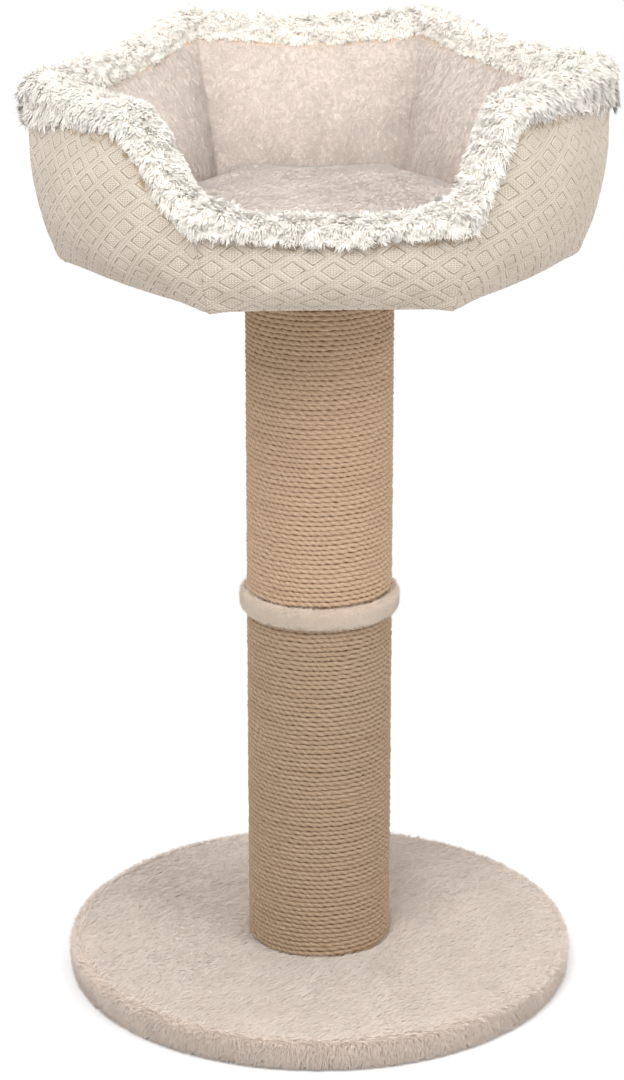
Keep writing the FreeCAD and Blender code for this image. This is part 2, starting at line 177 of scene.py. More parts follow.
# Softness: roughness and sheen
soft_specular = 0.2
sheen_roughness = 0.45
cloth_softness = (0.9, 0.1)
skin_softness = (0.9, 0.2)
jute_softness = (0.88, 0.15)
felt_softness = (0.95, 0.2)
tip_roughness = 0.85
tip_sheen = 0.25
fringe_tip_sheen = 0.2
hair_sheen = 0.1

# Patterned cloth: one repeat of the diamond pattern, its lines, and how far it stands out
cloth_repeat_across = 0.0314
cloth_repeat_up = 0.0224
cloth_relief = 0.0006
cloth_bump = 0.0008
cloth_outline = 0.305
cloth_outline_width = 0.058
cloth_inner_outline = 0.21
cloth_inner_width = 0.04
# Painted highlight between the two outlines: its width and share
cloth_frame_highlight_width = 0.04
cloth_frame_highlight_share = 0.5
cloth_outline_share = 0.9
cloth_ribs = 7
cloth_core_edge = (0.18, 0.22)
cloth_band_edge = (0.34, 0.37)
cloth_rib_range = (-0.9, 0.5)
cloth_cross_rib = (0.8, 0.0)
cloth_dot_range = (-0.7, 0.3)
cloth_woven_share = 0.7
cloth_shades = {"rib": 0.26, "dot": 0.44, "inner": 0.25}
cloth_depths = {"outline": 0.7, "inner": 0.3, "rib": 0.2, "dot": 0.5}
cloth_patch_scale = 26.0
cloth_patch_range = (0.3, 0.75)
cloth_fleck_stretch = (46.0, 40.0, 1.0)
cloth_fleck_range = (0.5, 0.8)
cloth_fleck_share = (0.0, 0.25)
cloth_fleck_depth = 0.3
cloth_wear_scale = 240.0
cloth_wear_share = (0.5, 1.0)
# Painted shadow under the fringe: the scale of its spots, the gaps between them, and the band of rim_shade
# where they lie
cloth_fringe_shadow_scale = 95.0
cloth_fringe_shadow_gaps = (0.45, 0.65)
cloth_fringe_shadow_share = (0.1, 0.8)
cloth_fringe_shadow_range = (0.55, 0.66)
cloth_tilt = {"front_left": math.radians(-5), "front_right": math.radians(11)}
emboss_outline_width = 0.035
emboss_inner_width = 0.03
emboss_inner_share = 0.5

# Pile: number of strands, length, width, lean, and the way that it lies
Pile = namedtuple("Pile", "count length width lean nap")
base_pile = Pile(42000, 0.0075, 0.0009, 0.62, (0.8, -0.25, 0.0))
base_edge_pile = Pile(38000, 0.0066, 0.0009, 0.32, (0.0, 0.0, -0.7))
ring_pile = Pile(24000, 0.0045, 0.0006, 0.62, (0.1, 0.0, -0.6))
lining_pile = Pile(11000, 0.0038, 0.0007, 0.7, (0.0, 0.0, -0.8))
cushion_pile = Pile(34000, 0.0038, 0.0007, 0.72, (0.5, -0.4, -0.1))
pile_segments = 1
pile_swirl = 0.12
pile_swirl_size = 0.07
pile_tufts = 0.17
pile_tuft_size = 0.012
pile_stray = 0.25
pile_lift = 0.05
pile_lift_size = 0.05
pile_lean_stray = 0.08
pile_lean_limits = (0.05, 0.95)
pile_bend = 0.25
pile_length_range = (0.7, 1.15)
pile_tone = (0.45, 0.3, 0.16)
tone_size = 0.03
strand_roundness = 0.6
strand_taper = 0.6
strand_sides = 3
strand_aside = 1e-4
strand_map_width = 0.002
strand_map_limits = (0.004, 0.996)
wave_count = 14
wave_spread = (0.6, 1.7)
wave_scale = 1.6

# Base
base_skin_depth = 0.0035
base_edge_depth = 0.0048
base_edge_round = 0.005
base_edge_points = 7
base_pile_lowest = 0.0008
base_hem_round = 0.003
base_hem_radius = 0.178
base_bolt_hole = 0.006
base_foot_step = 0.002
base_steps = 256
base_top_facing = 0.55
base_edge_facing = 0.3
plush_clearance = 0.0004
felt_hole_radius = 0.021
felt_steps = 192

# Rope
rope_radius = 0.00262
rope_cad_radius = 0.00185
rope_plies = 2
rope_lay = 0.0145
rope_ply_depth = 0.31
rope_wander = 0.00028
rope_rise_wave = 0.02
rope_reach_wave = 0.012
rope_twist = 1.6
rope_twist_wave = 0.05
rope_pairing = 0.00008
rope_rings_per_turn = 380
rope_ring_points = 10
rope_nodes = (1, 2, 3)
rope_turns = {"lower": 23.5, "upper": 22.5}
rope_extra_turns = {("lower", 3): 1.4}
# The lower half's jute is a darker copy of the upper's: painted shade, for the lower post gets less light
rope_painted_shades = {"lower": 0.82, "upper": 0.92}
rope_map_across = 0.999
rope_map_up = 0.98
rope_hairs = 2600
rope_hair_width = 0.00016
rope_hair_length = (0.003, 0.0075)
rope_hair_segments = 2
rope_hair_sink = 0.0012
rope_hair_margin = 0.003
rope_hair_rise = (0.15, 0.7)
rope_hair_stray = 0.3
rope_hair_curl = 0.25
rope_hair_fall = 0.15

# Ring at the joint of the post
ring_skin_depth = 0.0016
ring_edge_round = 0.0035
ring_edge_points = 5
ring_gap = 0.0004
ring_floor_lift = 0.0058
ring_roof_lift = 0.0022
ring_steps = 160

# Bed walls
bed_half_width = 0.24
wall_step = 0.005
wall_fewest_columns = 6
wall_outer_rows = 26
wall_inner_rows = 20
wall_row_spread = 1.3
wall_crown = 0.003
wall_inset = 0.0004
wall_seat_points = 3
wall_map_share = 0.96
wall_smoothing = 2
rim_search_steps = 22
cover_margins = (0.02, 0.01)
lining_margins = (0.01, 0.02)
seam_inset = 0.0006
seam_overlap = 0.004
lower_edge_round = 0.006
corner_edge_round = 0.006
corner_sag_width = 0.024
corner_sag = 0.0028
front_lift = 0.002
swell_rounding = 0.9
swell_rise = 0.35
swell_foot = 0.55
swell_side = 0.017
swell_flat = 0.003
rim_shade_depth = 0.044
lining_bare_seam = 0.006
lining_bare_foot = 0.004

# How the covers settle over their filling: pressure, spare cloth, and the furthest that they may move
wall_settling = (3.0, 0.012, 0.006)
cushion_settling = (4.0, 0.01, 0.008)
cloth_frames = 20
cloth_settings = {
    "quality": 6,
    "mass": 0.25,
    "tension_stiffness": 12.0,
    "compression_stiffness": 12.0,
    "shear_stiffness": 4.0,
    "bending_stiffness": 0.6,
    "use_pressure": True,
}

# Fringe: the forms give its top and its outer side as shares of its solid, its hang, and its inner side
fringe_step = 0.003
fringe_overlap = 0.018
fringe_points = 21
fringe_skirt_points = 4
fringe_core_share = 0.8
fringe_turn = math.radians(118)
fringe_inner_turn = math.radians(85)
fringe_outer_turn = math.radians(90)
fringe_seats = (0.001, 0.003)
fringe_ray_start = 0.08
fringe_climb_form = (0.68, 0.54, 0.008, 1.08)
fringe_back_form = (0.88, 0.66, 0.006, 0.44)
fringe_corner_form = (1.06, 0.58, 0.019, 0.68)
fringe_forms = {
    "front": (0.42, 0.69, 0.008, 0.3), "front_left": fringe_climb_form, "front_right": fringe_climb_form,
    "back": fringe_back_form, "back_left": fringe_back_form, "back_right": fringe_back_form,
}
fringe_front_share = 0.2
fringe_corner_share = 0.45
fringe_swell = 0.0016
fringe_strands = 15000
fringe_segments = 2
fringe_strand_length = 0.0078
fringe_strand_width = (0.001, 0.0021)
fringe_length_wave = (0.9, 0.3)
fringe_length_range = (0.75, 1.15)
fringe_inner_trim = 0.6
fringe_front_inner_trim = 0.3
fringe_front_trim = 0.15
fringe_lock = 0.015
fringe_lock_strands = 30
fringe_lock_draw = 0.6
fringe_fall = (0.35, 0.75)
fringe_curl = 0.38
fringe_stray = 0.3
fringe_lean = 0.55
fringe_lean_wave = 0.09
fringe_lean_stray = 0.1
fringe_lean_limits = (0.1, 0.9)
fringe_bend = 0.2
fringe_tone = (0.35, 0.25, 0.2)
fringe_light = 0.9
fringe_evenness = 2.0

# Cloth sheets of the bed, and its cushion
sheet_columns = 720
sheet_hole = 0.006
sheet_shares = (0.0, 0.5, 0.9)
sheet_edge_share = 0.995
sheet_edge_rise = 0.1
cushion_voxel = 0.005
cushion_clearance = 0.0003
cushion_smoothing = 1
cushion_facing = -0.2


# Node graphs


def feed(tree, socket, value):
    if isinstance(value, bpy.types.NodeSocket):
        tree.links.new(value, socket)
    else:
        socket.default_value = value


def add_node(tree, kind, settings=None, **inputs):
    node = tree.nodes.new(kind)
    for key, value in (settings or {}).items():
        setattr(node, key, value)
    for key, value in inputs.items():
        feed(tree, node.inputs[key.replace("_", " ")], value)
    return node


def calc(tree, operation, *values):
    node = add_node(tree, "ShaderNodeMath", {"operation": operation})
    for socket, value in zip(node.inputs, values):
        feed(tree, socket, value)
    return node.outputs[0]


def times(tree, first, second):
    return calc(tree, "MULTIPLY", first, second)


def ramp(tree, value, span, result=(0.0, 1.0)):
    node = add_node(tree, "ShaderNodeMapRange", {"interpolation_type": "SMOOTHSTEP", "clamp": True})
    keys = ("Value", "From Min", "From Max", "To Min", "To Max")
    for key, number in zip(keys, (value, *span, *result)):
        feed(tree, node.inputs[key], number)
    return node.outputs["Result"]


def band(tree, value, centre, half_width):
    offset = calc(tree, "ABSOLUTE", calc(tree, "SUBTRACT", value, centre))
    return ramp(tree, offset, (0.0, half_width), falling)


def mix(tree, share, first, second, blend="MIX"):
    node = add_node(tree, "ShaderNodeMix", {"data_type": "RGBA", "blend_type": blend})
    feed(tree, node.inputs[0], share)
    for socket, value in zip((node.inputs[6], node.inputs[7]), (first, second)):
        feed(tree, socket, value)
    return node.outputs[2]


def noise(tree, vector, scale, detail=noise_detail, roughness=noise_roughness):
    node = add_node(tree, "ShaderNodeTexNoise", Scale=scale, Detail=detail, Roughness=roughness)
    feed(tree, node.inputs["Vector"], vector)
    return node.outputs["Fac"]


def uv_of(tree, name):
    return add_node(tree, "ShaderNodeUVMap", {"uv_map": name}).outputs["UV"]


def attribute(tree, name):
    return add_node(tree, "ShaderNodeAttribute", {"attribute_name": name}).outputs["Fac"]


def object_place(tree):
    return add_node(tree, "ShaderNodeTexCoord").outputs["Object"]


def split(tree, vector):
    node = tree.nodes.new("ShaderNodeSeparateXYZ")
    tree.links.new(vector, node.inputs[0])
    return node.outputs


def stretched_noise(tree, vector, stretch, detail=noise_detail, roughness=noise_roughness):
    node = add_node(tree, "ShaderNodeMapping", Vector=vector, Scale=stretch)
    return noise(tree, node.outputs[0], 1.0, detail, roughness)


def seen_directly(tree):
    # 1 where the camera sees a surface, also in a mirror or through glass
    path = add_node(tree, "ShaderNodeLightPath").outputs
    seen = path["Is Camera Ray"]
    for kind in ("Is Glossy Ray", "Is Transmission Ray"):
        seen = calc(tree, "MAXIMUM", seen, path[kind])
    return seen


def new_material(name):
    material = bpy.data.materials.new(name)
    material.use_nodes = True
    return material, material.node_tree, material.node_tree.nodes["Principled BSDF"]


def srgb(colour):
    def linear(value):
        value /= 255
        return value / 12.92 if value <= 0.04045 else ((value + 0.055) / 1.055) ** 2.4

    return (*(linear(value) for value in colour), 1.0)


# Materials


def paint(tree, shader, colour, height=None, depth=0.0, strength=1.0):
    tree.links.new(colour, shader.inputs["Base Color"])
    if height is not None:
        bump = add_node(tree, "ShaderNodeBump", Height=height, Distance=depth, Strength=strength)
        tree.links.new(bump.outputs[0], shader.inputs["Normal"])


def soften(shader, roughness, sheen, sheen_tone):
    shader.inputs["Roughness"].default_value = roughness
    shader.inputs["Specular IOR Level"].default_value = soft_specular
    shader.inputs["Sheen Weight"].default_value = sheen
    shader.inputs["Sheen Roughness"].default_value = sheen_roughness
    shader.inputs["Sheen Tint"].default_value = srgb(sheen_tone)


def two_tones(tree, grain, tones, span=grain_range):
    return mix(tree, ramp(tree, grain, span), srgb(tones[0]), srgb(tones[1]))


def diamond_cloth():
    # A grid of diamonds on two diagonals. Bands run between them: ribbed along one diagonal,
    # dotted along the other.
    material, tree, shader = new_material("diamond_cloth")
    weave = uv_of(tree, "cloth")
    across, up, _ = split(tree, weave)
    offsets = []
    threads = []
    for operation in ("ADD", "SUBTRACT"):
        diagonal = calc(tree, operation, across, up)
        offset = calc(tree, "SUBTRACT", diagonal, calc(tree, "ROUND", diagonal))
        offsets.append(calc(tree, "ABSOLUTE", offset))
        threads.append(calc(tree, "SINE", times(tree, diagonal, full_turn * cloth_ribs)))
    step = calc(tree, "MAXIMUM", *offsets)
    ribbed = ramp(tree, offsets[1], cloth_band_edge)
    dotted = times(tree, ramp(tree, offsets[0], cloth_band_edge), calc(tree, "SUBTRACT", 1.0, ribbed))
    ribs = times(tree, ribbed, ramp(tree, threads[1], cloth_rib_range, falling))
    cross_ribs = times(tree, dotted, ramp(tree, threads[0], cloth_rib_range, cloth_cross_rib))
    core = ramp(tree, step, cloth_core_edge, falling)
    woven = times(tree, calc(tree, "MAXIMUM", dotted, ribbed), cloth_woven_share)
    dots = ramp(tree, times(tree, *threads), cloth_dot_range, falling)
    dips = {
        "outline": band(tree, step, cloth_outline, cloth_outline_width),
        "inner": band(tree, step, cloth_inner_outline, cloth_inner_width),
        "rib": calc(tree, "MAXIMUM", ribs, cross_ribs),
        "dot": times(tree, calc(tree, "MAXIMUM", core, woven), dots),
    }
    place = object_place(tree)
    groove = srgb(cloth_groove_tone)
    patch = noise(tree, place, cloth_patch_scale, grain_detail)
    colour = two_tones(tree, patch, cloth_tones, cloth_patch_range)
    for dip, share in cloth_shades.items():
        colour = mix(tree, times(tree, dips[dip], share), colour, groove)
    # Painted highlight: a pale line on the raised cloth between the two outlines
    frame_highlight = band(tree, step, (cloth_outline + cloth_inner_outline) / 2, cloth_frame_highlight_width)
    colour = mix(tree, times(tree, frame_highlight, cloth_frame_highlight_share), colour, srgb(cloth_frame_highlight_tone))
    wear = ramp(tree, noise(tree, place, cloth_wear_scale), uneven_range, cloth_wear_share)
    worn_outline = times(tree, dips["outline"], times(tree, wear, cloth_outline_share))
    colour = mix(tree, worn_outline, colour, groove)
    fleck = stretched_noise(tree, weave, cloth_fleck_stretch)
    colour = mix(tree, ramp(tree, fleck, cloth_fleck_range, cloth_fleck_share), colour, groove)
    # Painted shadow: the cloth just below the fringe's lower edge is darkened in spots, where the tufts hang
    # over it
    gaps = noise(tree, place, cloth_fringe_shadow_scale, broad_detail)
    gaps = ramp(tree, gaps, cloth_fringe_shadow_gaps, cloth_fringe_shadow_share)
    fringe_shadow = times(tree, ramp(tree, attribute(tree, "rim_shade"), cloth_fringe_shadow_range), gaps)
    colour = mix(tree, fringe_shadow, colour, srgb(cloth_fringe_shadow_tone))
    height = times(tree, fleck, cloth_fleck_depth)
    for dip, share in cloth_depths.items():
        height = calc(tree, "SUBTRACT", height, times(tree, dips[dip], share))
    paint(tree, shader, colour, height, cloth_bump)
    soften(shader, *cloth_softness, cloth_sheen_tone)
    return material


def pile_tips(name, tones, sheen=tip_sheen):
    # Each strand is painted darker at its root, as shade deep in the pile, and has a tone of its own
    material, tree, shader = new_material(name)
    tone, along, _ = split(tree, uv_of(tree, "strand"))
    colour = two_tones(tree, along, tones, strand_shade_range)
    colour = mix(tree, ramp(tree, tone, odd_range, odd_share), colour, srgb(tones[2]))
    paint(tree, shader, colour)
    soften(shader, tip_roughness, sheen, tones[1])
    return material


def pile_skin(name, tones, grain, seam=None):
    # The cloth that pile grows on. Where seam is given, the cloth near the rim is painted that colour, as
    # shade under the fringe along the bare seam.
    material, tree, shader = new_material(name)
    place = object_place(tree)
    fine = noise(tree, place, grain, *skin_noise)
    broad = noise(tree, place, grain / skin_patch_ratio)
    colour = two_tones(tree, fine, tones)
    colour = mix(tree, ramp(tree, broad, patch_range, patch_share), colour, srgb(tones[0]))
    if seam:
        uneven = ramp(tree, noise(tree, place, seam_shade_scale), uneven_range, seam_shade_share)
        near_rim = ramp(tree, attribute(tree, "rim_shade"), seam_shade_range)
        colour = mix(tree, times(tree, near_rim, uneven), colour, srgb(seam))
    paint(tree, shader, colour, fine, *skin_bump)
    soften(shader, *skin_softness, tones[1])
    return material


def jute(name, shade):
    # Its colours are scaled by shade; the lower half's copy is darker, as painted shade
    def shaded(tone):
        return [value * shade for value in tone]

    material, tree, shader = new_material(name)
    place = object_place(tree)
    fine = stretched_noise(tree, uv_of(tree, "fibre"), jute_fibre_stretch, *jute_noise)
    broad = noise(tree, place, jute_patch_scale)
    turns = stretched_noise(tree, place, jute_turn_stretch, broad_detail)
    colour = two_tones(tree, fine, [shaded(tone) for tone in jute_tones], jute_fibre_range)
    # Random patches, tones that change from turn to turn, and painted shade in the grooves between the plies
    for share, tone in (
        (ramp(tree, broad, patch_range, patch_share), jute_patch_tone),
        (ramp(tree, turns, jute_turn_range, jute_turn_share), jute_turn_tone),
        (ramp(tree, attribute(tree, "groove"), jute_groove_shade_range, jute_groove_shade_share), jute_groove_shade_tone),
    ):
        colour = mix(tree, share, colour, srgb(shaded(tone)))
    paint(tree, shader, colour, fine, *jute_bump)
    soften(shader, *jute_softness, jute_sheen_tone)
    return material


def board():
    material, tree, shader = new_material("chipboard")
    place = object_place(tree)
    chips = add_node(tree, "ShaderNodeTexVoronoi", Vector=place, Scale=board_chip_scale).outputs["Color"]
    grain = stretched_noise(tree, place, board_stretch, grain_detail)
    colour = mix(tree, board_chip_share, two_tones(tree, grain, board_tones), chips, "SOFT_LIGHT")
    paint(tree, shader, colour, grain, board_bump)
    shader.inputs["Roughness"].default_value = board_roughness
    return material


def cardboard():
    material, tree, shader = new_material("cardboard")
    fibres = stretched_noise(tree, object_place(tree), card_stretch, grain_detail)
    paint(tree, shader, two_tones(tree, fibres, card_tones), fibres, card_bump)
    shader.inputs["Roughness"].default_value = card_roughness
    return material


def steel():
    material, tree, shader = new_material("zinc_plated_steel")
    streaks = stretched_noise(tree, object_place(tree), steel_stretch)
    paint(tree, shader, two_tones(tree, streaks, steel_tones))
    tree.links.new(ramp(tree, streaks, grain_range, steel_roughness), shader.inputs["Roughness"])
    shader.inputs["Metallic"].default_value = 1.0
    return material


def felt():
    material, tree, shader = new_material("felt")
    fibres = noise(tree, object_place(tree), felt_scale, *felt_noise)
    paint(tree, shader, two_tones(tree, fibres, felt_tones), fibres, felt_bump)
    soften(shader, *felt_softness, felt_sheen_tone)
    return material


# Meshes


def mesh_object(name, points, faces, materials, maps=None, normals=None):
    mesh = bpy.data.meshes.new(name)
    points = np.asarray(points, np.float32)
    faces = np.asarray(faces, np.int32)
    mesh.vertices.add(len(points))
    mesh.vertices.foreach_set("co", points.ravel())
    mesh.loops.add(faces.size)
    mesh.loops.foreach_set("vertex_index", faces.ravel())
    mesh.polygons.add(len(faces))
    mesh.polygons.foreach_set("loop_start", np.arange(0, faces.size, faces.shape[1], dtype=np.int32))
    mesh.polygons.foreach_set("use_smooth", np.ones(len(faces), bool))
    for map_name, values in (maps or {}).items():
        layer = mesh.uv_layers.new(name=map_name)
        layer.data.foreach_set("uv", np.asarray(values, np.float32).ravel())
    for material in materials:
        mesh.materials.append(material)
    mesh.update()
    mesh.validate()
    if normals is not None:
        mesh.normals_split_custom_set_from_vertices(np.asarray(normals, np.float32).tolist())
    made = bpy.data.objects.new(name, mesh)
    scene.collection.objects.link(made)
    return made


def finish_piece(piece, body, replaced=()):
    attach(piece, body)
    if replaced:
        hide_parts(*replaced)


def values_of(items, name, kind, width=1):
    # One value for each item of a mesh, or one row of them
    values = np.empty(len(items) * width, kind)
    items.foreach_get(name, values)
    return values.reshape(-1, width) if width > 1 else values


def coordinates(mesh):
    return values_of(mesh.vertices, "co", np.float32, 3).astype(float)


def normals_of(mesh):
    return values_of(mesh.vertices, "normal", np.float32, 3).astype(float)


def move_points(mesh, points):
    mesh.vertices.foreach_set("co", points.astype(np.float32).ravel())
    mesh.update()


def note_on_points(mesh, name, values):
    layer = mesh.attributes.new(name, "FLOAT", "POINT")
    layer.data.foreach_set("value", values.astype(np.float32).ravel())


def drawn(piece):
    return piece.evaluated_get(bpy.context.evaluated_depsgraph_get())


def apply_modifiers(piece):
    mesh = bpy.data.meshes.new_from_object(drawn(piece))
    old = piece.data
    piece.modifiers.clear()
    piece.data = mesh
    bpy.data.meshes.remove(old)
    mesh.name = piece.name


def smooth(piece, levels):
    modifier = piece.modifiers.new("rounding", "SUBSURF")
    modifier.levels = levels
    modifier.render_levels = levels
    modifier.boundary_smooth = "PRESERVE_CORNERS"
    apply_modifiers(piece)


def grid_faces(rows, columns, wrap_rows=False):
    # Corner numbers of the quads of a grid of points, row by row. Each row is a closed ring.
    row = np.arange(rows if wrap_rows else rows - 1)
    row, column = (each.ravel() for each in np.meshgrid(row, np.arange(columns), indexing="ij"))
    next_row = (row + 1) % rows
    next_column = (column + 1) % columns
    corners = [row * columns + column, next_row * columns + column]
    corners += [next_row * columns + next_column, row * columns + next_column]
    return np.stack(corners, 1)


def quad_corners(faces, columns):
    # Row and column of each corner of a grid's quads. The column runs on where a ring closes.
    row, column = np.divmod(faces[:, :1], columns)
    return row + np.array([0, 1, 1, 0]), column + np.array([0, 0, 1, 1])


def close_ends(piece, rings, ring_points):
    # Caps on the first and the last ring of a tube
    form = bmesh.new()
    form.from_mesh(piece.data)
    form.verts.ensure_lookup_table()
    first = range(ring_points)
    last = range((rings - 1) * ring_points, rings * ring_points)
    for cap in (first[::-1], last):
        form.faces.new([form.verts[index] for index in cap]).smooth = True
    form.to_mesh(piece.data)
    form.free()


def on_circle(angle, radius, height):
    # Points round the post's axis
    parts = np.broadcast_arrays(np.cos(angle) * radius, np.sin(angle) * radius, height)
    return np.stack(parts, -1)


def reach_of(places):
    return np.hypot(places[:, 0], places[:, 1])


def arc(radius, height, size, start, end, count):
    turns = np.linspace(start, end, count)
    return [(radius + size * math.cos(turn), height + size * math.sin(turn)) for turn in turns]


def spun_form(name, profile, steps, material):
    # A closed outline of (radius, height) points turned round the post's axis
    radius, height = np.array(profile).T
    angle = np.arange(steps) * full_turn / steps
    points = on_circle(angle[:, None], radius, height)
    faces = grid_faces(steps, len(profile), True)
    form = mesh_object(name, points.reshape(-1, 3), faces, [material])
    turn_outward(form)
    return form


def triangles_of(piece, chosen=None):
    mesh = piece.data
    mesh.calc_loop_triangles()
    corners = values_of(mesh.loop_triangles, "vertices", np.int32, 3)
    points = coordinates(mesh)
    normals = normals_of(mesh)
    if chosen is not None:
        faces = values_of(mesh.loop_triangles, "polygon_index", np.int32)
        corners = corners[chosen(points[corners].mean(1), normals[corners].mean(1), faces)]
    return points[corners], normals[corners]


def turn_outward(piece):
    places, _ = triangles_of(piece)
    volume = (places[:, 0] * np.cross(places[:, 1], places[:, 2])).sum()
    if volume < 0:
        piece.data.flip_normals()


def unit(vectors):
    return vectors / np.maximum(np.linalg.norm(vectors, axis=1, keepdims=True), tiny)


def tangent(vectors, normals):
    return vectors - normals * (vectors * normals).sum(1, keepdims=True)


def leaning(outward, lay, leans):
    return unit(outward * (1 - leans)[:, None] + lay * leans[:, None])


def eased(share):
    return share**2 * (3 - 2 * share)


def limited(share):
    return min(max(share, 0.0), 1.0)


# Pile


def waves(points, size, generator):
    # Smooth random values from about -1 to 1 over points in space
    ways = unit(generator.normal(size=(wave_count, 3)))
    ways *= full_turn / size * generator.uniform(*wave_spread, (wave_count, 1))
    phases = generator.uniform(0, full_turn, wave_count)
    return np.sin(points @ ways.T + phases).sum(1) * math.sqrt(2 / wave_count) / wave_scale


def wave_ways(points, size, generator):
    return np.stack([waves(points, size, generator) for _ in range(3)], 1)


def strand_tones(spots, tone, generator):
    middle, wave, stray = tone
    return middle + wave * waves(spots, tone_size, generator) + generator.normal(0, stray, len(spots))


def scattered(piece, count, generator, chosen):
    # Random places on a piece's surface, as many on each part as its area asks for
    places, normals = triangles_of(piece, chosen)
    areas = np.linalg.norm(np.cross(places[:, 1] - places[:, 0], places[:, 2] - places[:, 0]), axis=1)
    picks = generator.choice(len(areas), count, p=areas / areas.sum())
    weights = generator.dirichlet((1, 1, 1), count)[:, :, None]
    return (places[picks] * weights).sum(1), unit((normals[picks] * weights).sum(1))


def strands(name, roots, ways, bends, lengths, widths, tones, segments, material, outward, lowest=None):
    # Thin closed spikes of three sides: straight along ways at the root, then drawn along bends.
    # Their shading follows the surface that they grow on, as a soft pile's does.
    count = len(roots)
    side = unit(np.cross(ways, unit(bends + strand_aside + ways[:, [1, 2, 0]])))
    other = np.cross(ways, side)
    lengths = np.broadcast_to(lengths, (count,))[:, None]
    widths = np.broadcast_to(widths, (count,))[:, None]
    rings = []
    facings = []
    for step in range(segments):
        share = step / segments
        middle = roots + ways * lengths * share + bends * lengths * share**2
        size = widths / 2 * (1 - share) ** strand_taper
        for corner in range(strand_sides):
            angle = corner * full_turn / strand_sides
            around = side * math.cos(angle) + other * math.sin(angle)
            rings.append(middle + around * size)
            facings.append(outward + around * strand_roundness)
    rings.append(roots + ways * lengths + bends * lengths)
    facings.append(outward)
    points = np.stack(rings, 1)
    normals = unit(np.stack(facings, 1).reshape(-1, 3))
    if lowest is not None:
        points[:, :, 2] = np.maximum(points[:, :, 2], lowest)
    tip = segments * strand_sides
    faces = [(0, 2, 1)]
    for near in range(tip):
        next_ring = (near // strand_sides + 1) * strand_sides
        far = next_ring - strand_sides + (near + 1) % strand_sides
        if next_ring == tip:
            faces.append((near, far, tip))
        else:
            faces += [(near, far, far + strand_sides), (near, far + strand_sides, near + strand_sides)]
    faces = np.array(faces)
    triangles = (np.arange(count)[:, None, None] * (tip + 1) + faces).reshape(-1, 3)
    along = np.append(np.repeat(np.arange(segments) / segments, strand_sides), 1.0)
    spread = (np.arange(tip + 1) % strand_sides - 1) * strand_map_width
    across = np.clip(tones, *strand_map_limits)[:, None] + spread
    flat = np.stack([across[:, faces], np.broadcast_to(along[faces], (count, *faces.shape))], -1)
    maps = {"strand": flat, "OFBake": flat}
    return mesh_object(name, points.reshape(-1, 3), triangles, [material], maps, normals)


def pile(name, piece, kind, material, generator, chosen, lowest=None):
    # Short pile that leans along its nap, with brushed patches where it turns another way
    spots, outward = scattered(piece, kind.count, generator, chosen)
    lay = np.array(kind.nap) + wave_ways(spots, pile_swirl_size, generator) * pile_swirl
    lay = lay + wave_ways(spots, pile_tuft_size, generator) * pile_tufts
    lay = unit(tangent(lay + generator.normal(size=spots.shape) * pile_stray, outward))
    leans = kind.lean + pile_lift * waves(spots, pile_lift_size, generator)
    leans = leans + generator.normal(0, pile_lean_stray, kind.count)
    ways = leaning(outward, lay, np.clip(leans, *pile_lean_limits))
    lengths = kind.length * generator.uniform(*pile_length_range, kind.count)
    tones = strand_tones(spots, pile_tone, generator)
    bends = lay * pile_bend
    return strands(
        name, spots, ways, bends, lengths, kind.width, tones, pile_segments, material, outward, lowest
    )


# Camera, floor and light


def place_looking(name, data, place, aim):
    placed = bpy.data.objects.new(name, data)
    placed.location = place
    placed.rotation_euler = (Vector(aim) - Vector(place)).to_track_quat("-Z", "Y").to_euler()
    scene.collection.objects.link(placed)
    return placed


def set_camera():
    camera = bpy.data.cameras.new("camera")
    camera.sensor_fit = "VERTICAL"
    camera.sensor_height = sensor_height
    camera.lens = sensor_height * focal_pixels / photo_height
    right = Vector((math.cos(camera_azimuth), math.sin(camera_azimuth), 0.0))
    back = Vector((math.sin(camera_azimuth), -math.cos(camera_azimuth), math.tan(camera_pitch)))
    middle = Vector((0.0, 0.0, aim_height))
    place = middle + back.normalized() * camera_distance
    scene.camera = place_looking("camera", camera, place, middle - right * aim_left)


def set_floor():
    # White away from the object, and a plain pale floor that takes its shadow near it
    material, tree, shader = new_material("pale_floor")
    x, y, _ = split(tree, object_place(tree))
    reach = calc(tree, "SQRT", calc(tree, "ADD", times(tree, x, x), times(tree, y, y)))
    seen = seen_directly(tree)
    grain = noise(tree, object_place(tree), floor_grain)
    pale = mix(tree, ramp(tree, grain, floor_grain_range), *floor_tones)
    paint(tree, shader, mix(tree, seen, floor_return, pale))
    shader.inputs["Roughness"].default_value = floor_roughness
    glow = tree.nodes.new("ShaderNodeEmission")
    both = tree.nodes.new("ShaderNodeMixShader")
    share = times(tree, ramp(tree, reach, floor_fade), seen)
    for socket, value in zip(both.inputs, (share, shader.outputs[0], glow.outputs[0])):
        tree.links.new(value, socket)
    tree.links.new(both.outputs[0], tree.nodes["Material Output"].inputs[0])
    half = floor_half
    corners = [(-half, -half, 0.0), (half, -half, 0.0), (half, half, 0.0), (-half, half, 0.0)]
    mesh_object("floor", corners, [(0, 1, 2, 3)], [material])


def set_light():
    world = bpy.data.worlds.new("studio")
    scene.world = world
    world.use_nodes = True
    tree = world.node_tree
    sky = tree.nodes["Background"]
    sky.inputs["Color"].default_value = white
    strength = ramp(tree, seen_directly(tree), (0.0, 1.0), (world_light, 1.0))
    tree.links.new(strength, sky.inputs["Strength"])
    for name, place, aim, size, power in lamps:
        light = bpy.data.lights.new(name, "AREA")
        light.shape = "DISK"
        light.size = size
        light.energy = power
        place_looking(name, light, place, aim)


# CAD nodes that stay


